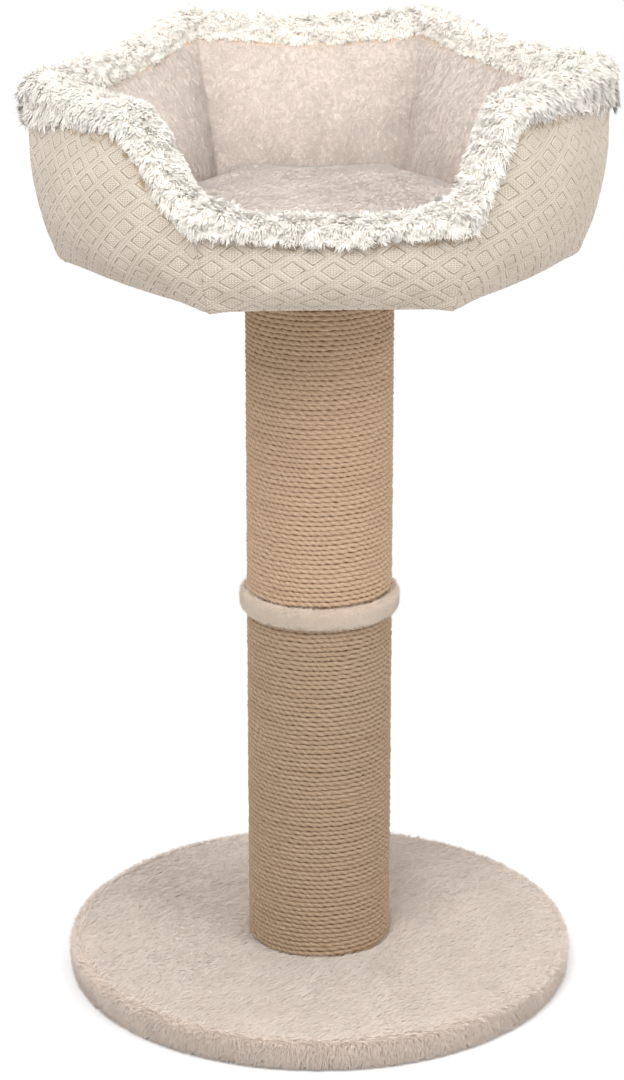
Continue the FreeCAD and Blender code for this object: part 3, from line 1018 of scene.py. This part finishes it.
def dress_nodes():
    chipboard = board()
    card = cardboard()
    metal = steel()
    finishes = {"base_board": chipboard, "bed_board": chipboard}
    for half in halves:
        finishes[half + "_post_tube"] = card
        finishes[half + "_bottom_plug"] = chipboard
        finishes[half + "_top_plug"] = chipboard
    for name in ("base_staples", "base_bolt", "base_washer", "bed_bolt", "bed_washer"):
        finishes[name] = metal
    for name in ("tee_nuts", "plug_brads", "joining_stud"):
        finishes[name] = metal
    for name, material in finishes.items():
        for material_slot in nodes[name].material_slots:
            material_slot.material = material


# Base


def make_base():
    generator = np.random.default_rng(base_seed)
    low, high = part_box("base_plush_cover")
    board_low, board_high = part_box("base_board")
    rope_low, rope_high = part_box("lower_rope_1")
    radius = high.x - base_edge_depth
    top = high.z - base_skin_depth
    edge = base_edge_round
    board_radius = board_high.x + plush_clearance
    board_top = board_high.z + plush_clearance
    board_under = board_low.z - plush_clearance
    post_radius = rope_high.x
    post_foot = rope_low.z - plush_clearance
    profile = [(base_bolt_hole, board_top), (base_bolt_hole, post_foot), (post_radius, post_foot)]
    profile += [(post_radius + base_foot_step, top)]
    profile += arc(radius - edge, top - edge, edge, quarter_turn, 0, base_edge_points)
    profile += [(radius, low.z + base_hem_round), (radius - base_hem_round, low.z), (base_hem_radius, low.z)]
    profile += [(base_hem_radius, board_under), (board_radius, board_under), (board_radius, board_top)]
    skin = pile_skin("base_plush_skin", base_skin_tones, base_grain)
    tips = pile_tips("base_plush_tips", base_tip_tones)
    # The edge's tips are a darker copy of the top's, as painted shade on the side
    edge_tips = pile_tips("base_edge_shaded_tips", base_edge_shade_tones)
    cover = spun_form("base_plush", profile, base_steps, skin)

    def on_top(places, normals, faces):
        above = places[:, 2] > (board_high.z + top) / 2
        return above & (normals[:, 2] > base_top_facing) & (reach_of(places) > post_radius)

    def on_edge(places, normals, faces):
        reach = reach_of(places)
        outward = (normals[:, :2] * places[:, :2]).sum(1) / reach
        return (reach > board_radius - base_edge_round) & (outward > base_edge_facing)

    piles = []
    for name, sign in (("base_pile_left", -1), ("base_pile_right", 1)):

        def half_of_top(places, normals, faces, sign=sign):
            return on_top(places, normals, faces) & (places[:, 0] * sign >= 0)

        piles.append(pile(name, cover, base_pile, tips, generator, half_of_top, base_pile_lowest))
    rim = pile("base_pile_edge", cover, base_edge_pile, edge_tips, generator, on_edge, base_pile_lowest)
    piles.append(rim)
    finish_piece(cover, "frame", ["base_plush_cover"])
    for each in piles:
        finish_piece(each, "frame")


def make_felt():
    low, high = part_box("base_underside_felt")
    edge = (high.z - low.z) / 4
    hole = felt_hole_radius
    profile = [(hole, low.z + edge), (hole + edge, low.z)]
    profile += [(high.x - edge, low.z), (high.x, low.z + edge), (high.x, high.z - edge)]
    profile += [(high.x - edge, high.z), (hole + edge, high.z), (hole, high.z - edge)]
    disc = spun_form("underside_felt", profile, felt_steps, felt())
    finish_piece(disc, "frame", ["base_underside_felt"])


# Post


def make_rope(half, number, first_angle, material, generator):
    # A twisted rope: its section has one lobe for each ply, and turns along the rope
    node = f"{half}_rope_{number}"
    low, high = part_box(node)
    rise = (high.z - low.z - 2 * rope_cad_radius) / rope_turns[half]
    turns = rope_turns[half] + rope_extra_turns.get((half, number), 0.0)
    rings = int(turns * rope_rings_per_turn) + 1
    turn = np.linspace(0, turns, rings)
    angle = first_angle + turn * full_turn
    path_radius = high.x - rope_cad_radius
    height = low.z + rope_cad_radius + rise * turn
    spots = on_circle(angle, path_radius, height)
    ends = np.clip(np.minimum(turn, turns - turn) * 2, 0, 1)
    pairing = rope_pairing * np.cos((angle + quarter_turn) / 2) * ends
    height = height + pairing + rope_wander * waves(spots, rope_rise_wave, generator) * ends
    reach = path_radius + rope_wander * waves(spots, rope_reach_wave, generator)
    phase = angle * path_radius / rope_lay * full_turn
    phase = phase + rope_twist * waves(spots, rope_twist_wave, generator)
    around = np.arange(rope_ring_points) * full_turn / rope_ring_points
    lobe = np.cos((around[None, :] + phase[:, None]) * rope_plies / 2) ** 2
    size = rope_radius * (1 - rope_ply_depth * (1 - lobe))
    out = reach[:, None] + size * np.cos(around)
    points = on_circle(angle[:, None], out, height[:, None] + size * np.sin(around))
    faces = grid_faces(rings, rope_ring_points)
    ring, spot = quad_corners(faces, rope_ring_points)
    along = turn[ring] * full_turn * path_radius
    ply = spot / rope_ring_points + phase[ring] / full_turn
    lap, start = np.divmod(ring[:, :1], rope_rings_per_turn)
    across = (start + ring - ring[:, :1]) / rope_rings_per_turn
    up = (lap + spot / rope_ring_points * rope_map_up) / math.ceil(turns)
    maps = {"fibre": np.stack([along, ply], -1), "OFBake": np.stack([across * rope_map_across, up], -1)}
    rope = mesh_object(f"{half}_winding_{number}", points.reshape(-1, 3), faces, [material], maps)
    close_ends(rope, rings, rope_ring_points)
    # How deep each point lies between the plies; the jute is painted darker there, as shade
    note_on_points(rope.data, "groove", 1 - lobe)
    finish_piece(rope, "frame", [node])
    return angle[-1]


def make_hairs(half, material, generator):
    # Loose fibres that stand off the rope to either side
    low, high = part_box(f"{half}_rope_1")
    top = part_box(f"{half}_rope_3")[1].z
    many = (rope_hairs, 3)
    outward = on_circle(generator.uniform(0, full_turn, rope_hairs), 1.0, 0.0)
    roots = outward * (high.x - rope_hair_sink)
    roots[:, 2] = generator.uniform(low.z + rope_hair_margin, top - rope_hair_margin, rope_hairs)
    aside = np.cross((0.0, 0.0, 1.0), outward) * generator.choice([-1, 1], rope_hairs)[:, None]
    ways = outward * generator.uniform(*rope_hair_rise, (rope_hairs, 1)) + aside
    ways = unit(ways + generator.normal(0, rope_hair_stray, many))
    bends = generator.normal(0, rope_hair_curl, many) - outward * rope_hair_fall
    lengths = generator.uniform(*rope_hair_length, rope_hairs)
    tones = generator.uniform(0, 1, rope_hairs)
    fuzz = strands(
        f"{half}_rope_hairs", roots, ways, bends, lengths, rope_hair_width, tones, rope_hair_segments,
        material, outward,
    )
    finish_piece(fuzz, "frame")


def make_post():
    generator = np.random.default_rng(post_seed)
    hairs = pile_tips("jute_hairs", hair_tones, hair_sheen)
    for half in halves:
        angle = 0.0
        material = jute(half + "_jute", rope_painted_shades[half])
        for number in rope_nodes:
            angle = make_rope(half, number, angle, material, generator)
        make_hairs(half, hairs, generator)


def make_ring():
    generator = np.random.default_rng(ring_seed)
    low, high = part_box("joint_ring")
    post_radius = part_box("lower_rope_1")[1].x
    outer = high.x - ring_skin_depth
    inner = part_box("lower_post_tube")[1].x + ring_gap
    edge = ring_edge_round
    floor = low.z + ring_skin_depth + ring_floor_lift
    roof = high.z - ring_skin_depth + ring_roof_lift
    profile = [(inner, roof), (inner, floor)]
    profile += arc(outer - edge, floor + edge, edge, -quarter_turn, 0, ring_edge_points)
    profile += arc(outer - edge, roof - edge, edge, 0, quarter_turn, ring_edge_points)
    skin = pile_skin("ring_plush_skin", ring_skin_tones, ring_grain)
    tips = pile_tips("ring_plush_tips", ring_tip_tones)
    band_piece = spun_form("joint_band", profile, ring_steps, skin)

    def outside(places, normals, faces):
        return reach_of(places) > post_radius

    fur = pile("joint_band_pile", band_piece, ring_pile, tips, generator, outside)
    finish_piece(band_piece, "frame", ["joint_ring"])
    finish_piece(fur, "frame")


# Bed walls


def tree_of(node):
    mesh = nodes[node].data
    points = [vertex.co for vertex in mesh.vertices]
    return BVHTree.FromPolygons(points, [face.vertices for face in mesh.polygons])


def side_span(node):
    # The two angles round the post's axis between which a side of the bed runs
    points = np.array([vertex.co for vertex in nodes[node].data.vertices])
    middle = math.atan2(points[:, 1].mean(), points[:, 0].mean())
    turned = (np.arctan2(points[:, 1], points[:, 0]) - middle + math.pi) % full_turn - math.pi
    return middle + turned.min() + seam_inset, middle + turned.max() - seam_inset


def level_way(angle):
    return Vector((math.cos(angle), math.sin(angle), 0.0))


def wall_reach(tree, angle, height, from_outside):
    # How far from the post's axis a wall's surface lies, at an angle and a height
    way = level_way(angle)
    level = Vector((0.0, 0.0, height))
    if from_outside:
        hit = tree.ray_cast(level + way, -way)[0]
    else:
        hit = tree.ray_cast(level, way)[0]
    return None if hit is None else hit.to_2d().length


def rim_height(tree, angle, low, high, from_outside):
    for _ in range(rim_search_steps):
        middle = (low + high) / 2
        if wall_reach(tree, angle, middle, from_outside) is None:
            high = middle
        else:
            low = middle
    return low


class Wall:
    """The surfaces of one side of the bed, read from its solids."""

    def __init__(self, side):
        self.side = side
        self.cover = tree_of("wall_cover_" + side)
        self.lining = tree_of("wall_lining_" + side)
        self.board = tree_of("bed_board")
        self.span = side_span("wall_cover_" + side)
        self.low, self.high = (corner.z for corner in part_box("wall_cover_" + side))
        self.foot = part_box("wall_lining_" + side)[0].z
        self.board_low, self.board_high = (corner.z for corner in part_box("bed_board"))
        width = (self.span[1] - self.span[0]) * bed_half_width
        columns = max(wall_fewest_columns, int(round(width / wall_step)))
        self.angles = np.linspace(*self.span, columns + 1)
        self.rims = np.array([self.cover_rim(angle) for angle in self.angles])

    def cover_rim(self, angle):
        low, high = self.low + cover_margins[0], self.high + cover_margins[1]
        return rim_height(self.cover, angle, low, high, True)

    def lining_rim(self, angle):
        low, high = self.foot + lining_margins[0], self.high + lining_margins[1]
        return rim_height(self.lining, angle, low, high, False)

    def column(self, angle, rim):
        # One closed upright section of the wall, as (radius, height) points
        round_off = self.lower_edge(angle)
        lowest = self.lowest(angle)
        outer = []
        for share in np.linspace(0, 1, wall_outer_rows) ** wall_row_spread:
            height = lowest + wall_inset + (rim - lowest - 2 * wall_inset) * share
            short = max(0.0, round_off - (height - lowest))
            cut = round_off - math.sqrt(round_off**2 - short**2)
            reach = wall_reach(self.cover, angle, max(height, self.low + wall_inset), True)
            outer.append((reach - cut + self.swell(angle, (height - lowest) / (rim - lowest)), height))
        inner = []
        top = min(rim, self.lining_rim(angle))
        for share in np.linspace(1, 0, wall_inner_rows):
            height = self.foot + wall_inset + (top - self.foot - 2 * wall_inset) * share
            inner.append((wall_reach(self.lining, angle, height, False), height))
        crown = [((outer[-1][0] + inner[0][0]) / 2, max(outer[-1][1], inner[0][1]) + wall_crown)]
        edge = wall_reach(self.board, angle, (self.board_low + self.board_high) / 2, True) + wall_inset
        under = self.board_low - wall_inset / 2
        seat = [(edge, self.board_high + wall_inset), (edge, under)]
        seat.append((min(edge, outer[0][0]) - wall_inset, under))
        return outer + crown + inner + seat

    def turned(self, places):
        # Angles round the post's axis, without a jump inside this side's span
        middle = (self.span[0] + self.span[1]) / 2
        angles = np.arctan2(places[:, 1], places[:, 0])
        return (angles - middle + math.pi) % full_turn - math.pi + middle

    def share(self, angle):
        return (angle - self.span[0]) / (self.span[1] - self.span[0])

    def rim_at(self, places):
        return np.interp(self.turned(places), self.angles, self.rims)

    def corner(self, angle):
        # 1 at the two front corners of the bed, falling to 0 away from them
        if self.side == "front":
            near = min(angle - self.span[0], self.span[1] - angle)
        elif self.side == "front_left":
            near = self.span[1] - angle
        elif self.side == "front_right":
            near = angle - self.span[0]
        else:
            return 0.0
        return math.exp(-((near * bed_half_width / corner_sag_width) ** 2))

    def swell(self, angle, rise):
        # The cover stands out in a soft curve between its seams, most at a third of its height
        if rise < swell_rise:
            part = swell_foot + (1 - swell_foot) * math.sin(rise / swell_rise * math.pi / 2)
        else:
            part = math.cos((rise - swell_rise) / (1 - swell_rise) * math.pi / 2)
        most = swell_flat if self.side in ("front", "back") else swell_side
        return most * math.sin(math.pi * self.share(angle)) * part

    def lower_edge(self, angle):
        # The lower edge is rounded, but hangs fuller at the two front corners
        full = lower_edge_round + swell_rounding * self.swell(angle, 0.0)
        return full + (corner_edge_round - full) * self.corner(angle)

    def lowest(self, angle):
        lift = front_lift if self.side == "front" else 0.0
        return self.low + lift - (corner_sag + lift) * self.corner(angle)


def cloth_map(wall, points):
    # Where each point of a wall lies on its cloth: along the side, and up the outside
    columns, ring = points.shape[:2]
    middle = points[:, wall_outer_rows // 3]
    level = (middle[-1] - middle[0]) / np.linalg.norm(middle[-1] - middle[0])
    along = points @ level
    along = np.concatenate([along, along[:, :1]], 1)
    steps = np.diff(points[:, :wall_outer_rows], axis=1)
    rises = np.sqrt(np.maximum((steps**2).sum(2) - (steps @ level) ** 2, 0.0))
    up = np.zeros((columns, ring + 1))
    up[:, 1:wall_outer_rows] = np.cumsum(rises, axis=1)
    up[:, wall_outer_rows:] = up[:, [wall_outer_rows - 1]]
    up[:, ring - wall_seat_points:] = 0.0
    tilt = cloth_tilt.get(wall.side, 0.0)
    turned_along = along * math.cos(tilt) - up * math.sin(tilt)
    turned_up = along * math.sin(tilt) + up * math.cos(tilt)
    return np.stack([turned_along / cloth_repeat_across, turned_up / cloth_repeat_up], -1)


def wall_piece(wall, materials):
    sections = np.array([wall.column(angle, rim) for angle, rim in zip(wall.angles, wall.rims)])
    columns, ring = sections.shape[:2]
    angles = wall.angles.copy()
    angles[0] -= seam_overlap
    angles[-1] += seam_overlap
    points = on_circle(angles[:, None], sections[..., 0], sections[..., 1])
    faces = grid_faces(columns, ring)
    corner_column, corner_row = quad_corners(faces, ring)
    cloth = cloth_map(wall, points)[corner_column, corner_row]
    flat = np.stack([corner_column / columns, corner_row / ring], -1) * wall_map_share
    maps = {"cloth": cloth, "OFBake": flat}
    piece = mesh_object("bed_wall_" + wall.side, points.reshape(-1, 3), faces, materials, maps)
    close_ends(piece, columns, ring)
    seat = ring - wall_seat_points
    slots = np.zeros(len(piece.data.polygons), np.int32)
    slots[:len(faces)] = (corner_row[:, 0] >= wall_outer_rows) & (corner_row[:, 0] < seat)
    piece.data.polygons.foreach_set("material_index", slots)
    column, row = np.divmod(np.arange(columns * ring), ring)
    at_seams = (column == 0) | (column == columns - 1)
    at_rim = np.abs(row - wall_outer_rows) <= 1
    at_foot = (row <= 1) | (row >= seat - 1)
    piece["held"] = np.flatnonzero(at_seams | at_rim | at_foot).tolist()
    # rim_shade is 1 at the rim and falls away from it; it places the painted shade under the fringe, on the
    # cloth and on the lining's seam
    shade = np.clip(1 - np.abs(points[..., 2] - wall.rims[:, None]) / rim_shade_depth, 0, 1)
    note_on_points(piece.data, "rim_shade", shade)
    turn_outward(piece)
    return piece


def settle(padded_pieces):
    # The covers swell under their filling, held at their seams
    starts = {}
    for piece, (pressure, surplus, _) in padded_pieces:
        starts[piece.name] = coordinates(piece.data)
        modifier = piece.modifiers.new("cloth", "CLOTH")
        settings = modifier.settings
        if "held" in piece:
            group = piece.vertex_groups.new(name="held")
            group.add(list(piece["held"]), 1.0, "REPLACE")
            settings.vertex_group_mass = "held"
            del piece["held"]
        for key, value in cloth_settings.items():
            setattr(settings, key, value)
        settings.uniform_pressure_force = pressure
        settings.shrink_min = -surplus
        settings.effector_weights.gravity = 0.0
        modifier.collision_settings.use_collision = False
        modifier.point_cache.frame_start = 1
        modifier.point_cache.frame_end = cloth_frames
    for step in range(1, cloth_frames + 1):
        scene.frame_set(step)
    for piece, (_, _, cap) in padded_pieces:
        points = starts[piece.name]
        shift = coordinates(drawn(piece).data) - points
        size = np.linalg.norm(shift, axis=1, keepdims=True)
        points = points + shift * np.minimum(1.0, cap / np.maximum(size, tiny))
        piece.modifiers.clear()
        piece.vertex_groups.clear()
        move_points(piece.data, points)
    scene.frame_set(1)


def emboss(piece):
    # The diamond outlines lie a little below the rest of the cloth
    mesh = piece.data
    corners = values_of(mesh.loops, "vertex_index", np.int32)
    place = np.zeros((len(mesh.vertices), 2))
    place[corners] = values_of(mesh.uv_layers["cloth"].data, "uv", np.float32, 2)
    slots = values_of(mesh.polygons, "material_index", np.int32)
    outside = np.zeros(len(mesh.vertices))
    outside[corners] = 1 - np.repeat(slots, values_of(mesh.polygons, "loop_total", np.int32))
    diagonals = np.stack([place.sum(1), place[:, 0] - place[:, 1]], 1)
    step = np.abs(diagonals - np.round(diagonals)).max(1)
    depth = np.exp(-((step - cloth_outline) / emboss_outline_width) ** 2)
    depth += emboss_inner_share * np.exp(-((step - cloth_inner_outline) / emboss_inner_width) ** 2)
    move_points(mesh, coordinates(mesh) - normals_of(mesh) * (depth * outside * cloth_relief)[:, None])


def line_wall(wall, piece, tips, generator):
    # Pile on the inside of a wall, bare at the seam under the rim
    slots = values_of(piece.data.polygons, "material_index", np.int32)

    def inside(places, normals, faces):
        seam = wall.rim_at(places) - lining_bare_seam
        above = places[:, 2] > wall.foot + lining_bare_foot
        return (slots[faces] == 1) & above & (places[:, 2] < seam)

    fur = pile("lining_pile_" + wall.side, piece, lining_pile, tips, generator, inside)
    finish_piece(fur, "frame")


# Fringe


def fringe_fullness(wall, angles):
    # 1 at the two side corners of the bed, falling to 0 along its sides
    if wall.side in ("front", "back"):
        return np.zeros_like(angles)
    away = np.clip(wall.share(angles), 0, 1)
    if wall.side in ("front_right", "back_left"):
        away = 1 - away
    return 1 - eased(np.clip(away / fringe_corner_share, 0, 1))


def fringe_form(wall, angle):
    # The form of the strip at an angle, between that of its side and that of the side's ends
    ends = fringe_corner_form
    full = float(fringe_fullness(wall, angle))
    if wall.side == "front":
        ends = fringe_climb_form
        away = wall.share(angle)
        full = 1 - eased(limited(min(away, 1 - away) / fringe_front_share))
    return [plain + (end - plain) * full for plain, end in zip(fringe_forms[wall.side], ends)]


def fringe_core(wall, material):
    # A thin strip over the rim that the strands are sewn to
    node = "rim_fringe_" + wall.side
    tree = tree_of(node)
    start, end = side_span(node)
    columns = int(round((end - start) * bed_half_width / fringe_step)) + 1
    arc_points = fringe_points - fringe_skirt_points
    turns = [-fringe_outer_turn] * fringe_skirt_points
    turns += list(np.linspace(-fringe_outer_turn, fringe_turn, arc_points))
    falls = list(np.linspace(1, 0, fringe_skirt_points, endpoint=False)) + [0.0] * arc_points
    points = []
    for angle in np.linspace(start - fringe_overlap, end + fringe_overlap, columns):
        held = min(max(angle, start, wall.span[0]), end, wall.span[1])
        outward = level_way(held)
        rim = wall.cover_rim(held)
        outer_reach = wall_reach(wall.cover, held, rim - fringe_seats[0], True)
        inner_reach = wall_reach(wall.lining, held, rim - fringe_seats[1], False)
        middle = outward * ((outer_reach + inner_reach) / 2) + Vector((0.0, 0.0, rim))
        turned = Matrix.Rotation(angle - held, 3, "Z")
        top_size, side_size, skirt, inner_size = fringe_form(wall, held)
        outside, inside = [], []
        for turn, fall in zip(turns, falls):
            way = outward * -math.sin(turn) + Vector((0.0, 0.0, math.cos(turn)))
            hit = tree.ray_cast(middle + way * fringe_ray_start, -way)[0]
            size = top_size + (side_size - top_size) * limited(-turn / fringe_outer_turn)
            size += (inner_size - top_size) * eased(limited(turn / fringe_inner_turn))
            reach = (hit - middle).length * size
            hung = middle - Vector((0.0, 0.0, skirt * fall))
            outside.append(turned @ (hung + way * reach))
            inside.append(turned @ (hung + way * reach * fringe_core_share))
        points += outside + inside[::-1]
    ring = fringe_points * 2
    core = mesh_object("rim_band_" + wall.side, points, grid_faces(columns, ring), [material])
    close_ends(core, columns, ring)
    turn_outward(core)
    return core


def ruffle(core, generator):
    # The strip bulges in soft locks
    mesh = core.data
    points = coordinates(mesh)
    outside = np.arange(len(points)) % (fringe_points * 2) < fringe_points
    swell = fringe_swell * waves(points, fringe_lock, generator) * outside
    move_points(mesh, points + normals_of(mesh) * swell[:, None])


def upper_faces(core):
    # The faces of the strip's upper surface, whose points come first in each ring
    ring = fringe_points * 2
    last = [max(point % ring for point in face.vertices) for face in core.data.polygons]
    return np.array(last) < fringe_points


def drawn_to_locks(spots, ways, lengths, generator):
    # Bends that draw the tips of neighbouring strands together
    ends = spots + ways * lengths[:, None]
    guides = generator.choice(len(spots), len(spots) // fringe_lock_strands, replace=False)
    tree = KDTree(len(guides))
    for number, guide in enumerate(guides):
        tree.insert(Vector(spots[guide]), number)
    tree.balance()
    nearest = guides[[tree.find(Vector(spot))[1] for spot in spots]]
    draw = generator.uniform(0, fringe_lock_draw, (len(spots), 1))
    return (ends[nearest] - ends) * draw / lengths[:, None]


def make_fringe(wall, skin, tips, generator):
    core = fringe_core(wall, skin)
    ruffle(core, generator)
    upper = upper_faces(core)
    count = int(fringe_strands * (wall.span[1] - wall.span[0]) / (math.pi / 3))
    spots, outward = scattered(core, count, generator, lambda places, normals, faces: upper[faces])
    radial = unit(spots * (1, 1, 0))
    full = fringe_fullness(wall, wall.turned(spots))
    fall = radial * (fringe_fall[0] * (1 - full))[:, None] + np.array([0.0, 0.0, -fringe_fall[1]])
    lay = fall + wave_ways(spots, fringe_lock, generator) * fringe_curl
    lay = unit(tangent(lay + generator.normal(0, fringe_stray, spots.shape), outward))
    leans = fringe_lean + fringe_lean_wave * waves(spots, fringe_lock, generator)
    leans = leans + generator.normal(0, fringe_lean_stray, count)
    ways = leaning(outward, lay, np.clip(leans, *fringe_lean_limits))
    length, wave = fringe_length_wave
    lengths = fringe_strand_length * (length + wave * waves(spots, fringe_lock, generator))
    front = wall.side.startswith("front")
    trim = fringe_front_inner_trim if front else fringe_inner_trim
    inward = np.clip(-(outward * radial).sum(1), 0, 1)
    lengths *= generator.uniform(*fringe_length_range, count) * (1 - trim * inward)
    if front:
        lengths *= 1 - fringe_front_trim * (1 - full)
    tones = strand_tones(spots, fringe_tone, generator)
    widths = generator.uniform(*fringe_strand_width, count)
    bends = lay * fringe_bend + drawn_to_locks(spots, ways + lay * fringe_bend, lengths, generator)
    shading = (outward + np.array([0.0, 0.0, fringe_light])) * fringe_evenness
    name = "rim_fringe_tufts_" + wall.side
    fur = strands(name, spots, ways, bends, lengths, widths, tones, fringe_segments, tips, shading)
    finish_piece(core, "frame", ["rim_fringe_" + wall.side])
    finish_piece(fur, "frame")


# Bed


def cloth_sheet(name, node, inset, material):
    # A flat cut of cloth with a rounded edge, laid in the outline of its solid
    low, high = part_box(node)
    tree = tree_of(node)
    angles = np.arange(sheet_columns) * full_turn / sheet_columns
    reach = np.array([wall_reach(tree, angle, (low.z + high.z) / 2, True) for angle in angles]) - inset
    thick = high.z - low.z
    edge = thick * sheet_edge_rise
    rings = [(share, low.z) for share in sheet_shares]
    rings += [(sheet_edge_share, low.z + edge), (1.0, low.z + thick / 2), (sheet_edge_share, high.z - edge)]
    rings += [(share, high.z) for share in sheet_shares[::-1]]
    share, height = np.array(rings).T[:, :, None]
    points = on_circle(angles, sheet_hole + (reach - sheet_hole) * share, height)
    faces = grid_faces(len(rings), sheet_columns, True)[:, ::-1]
    piece = mesh_object(name, points.reshape(-1, 3), faces, [material])
    finish_piece(piece, "frame", [node])


def cushion_piece(material):
    mesh = nodes["cushion_filling"].data.copy()
    mesh.materials.clear()
    mesh.materials.append(material)
    piece = bpy.data.objects.new("cushion", mesh)
    scene.collection.objects.link(piece)
    modifier = piece.modifiers.new("even_mesh", "REMESH")
    modifier.mode = "VOXEL"
    modifier.voxel_size = cushion_voxel
    apply_modifiers(piece)
    return piece


def make_cushion(piece, tips, generator):
    low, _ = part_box("cushion_cover")
    points = coordinates(piece.data)
    points[:, 2] = np.clip(points[:, 2], low.z + cushion_clearance, None)
    move_points(piece.data, points)
    smooth(piece, cushion_smoothing)
    piece.data.polygons.foreach_set("use_smooth", np.ones(len(piece.data.polygons), bool))
    finish_piece(piece, "cushion", ["cushion_cover", "cushion_filling"])

    def upper(places, normals, faces):
        return normals[:, 2] > cushion_facing

    fur = pile("cushion_pile", piece, cushion_pile, tips, generator, upper)
    finish_piece(fur, "cushion")


def make_bed():
    generator = np.random.default_rng(bed_seed)
    cloth = diamond_cloth()
    lining = pile_skin("lining_plush_skin", lining_skin_tones, lining_grain, lining_seam_shade_tone)
    lining_tips = pile_tips("lining_plush_tips", lining_tip_tones)
    fringe_skin = pile_skin("fringe_skin", fringe_skin_tones, fringe_grain)
    fringe_tips = pile_tips("fringe_tips", fringe_tip_tones, fringe_tip_sheen)
    walls = [Wall(side) for side in sides]
    pieces = [wall_piece(wall, [cloth, lining]) for wall in walls]
    cushion = cushion_piece(lining)
    settle([(piece, wall_settling) for piece in pieces] + [(cushion, cushion_settling)])
    for wall, piece in zip(walls, pieces):
        smooth(piece, wall_smoothing)
        emboss(piece)
        side = wall.side
        solids = ["wall_pad_" + side, "wall_cover_" + side, "wall_lining_" + side]
        finish_piece(piece, "frame", solids)
        line_wall(wall, piece, lining_tips, generator)
        make_fringe(wall, fringe_skin, fringe_tips, generator)
    make_cushion(cushion, lining_tips, generator)
    plain = pile_skin("plain_cloth", underside_tones, underside_grain)
    cloth_sheet("bed_underside", "bed_bottom_cover", lower_edge_round + wall_inset, plain)
    cloth_sheet("bed_floor_cloth", "bed_floor_lining", 0.0, lining)


scene.view_settings.view_transform = "Standard"
set_camera()
set_floor()
set_light()
dress_nodes()
make_base()
make_felt()
make_post()
make_ring()
make_bed()
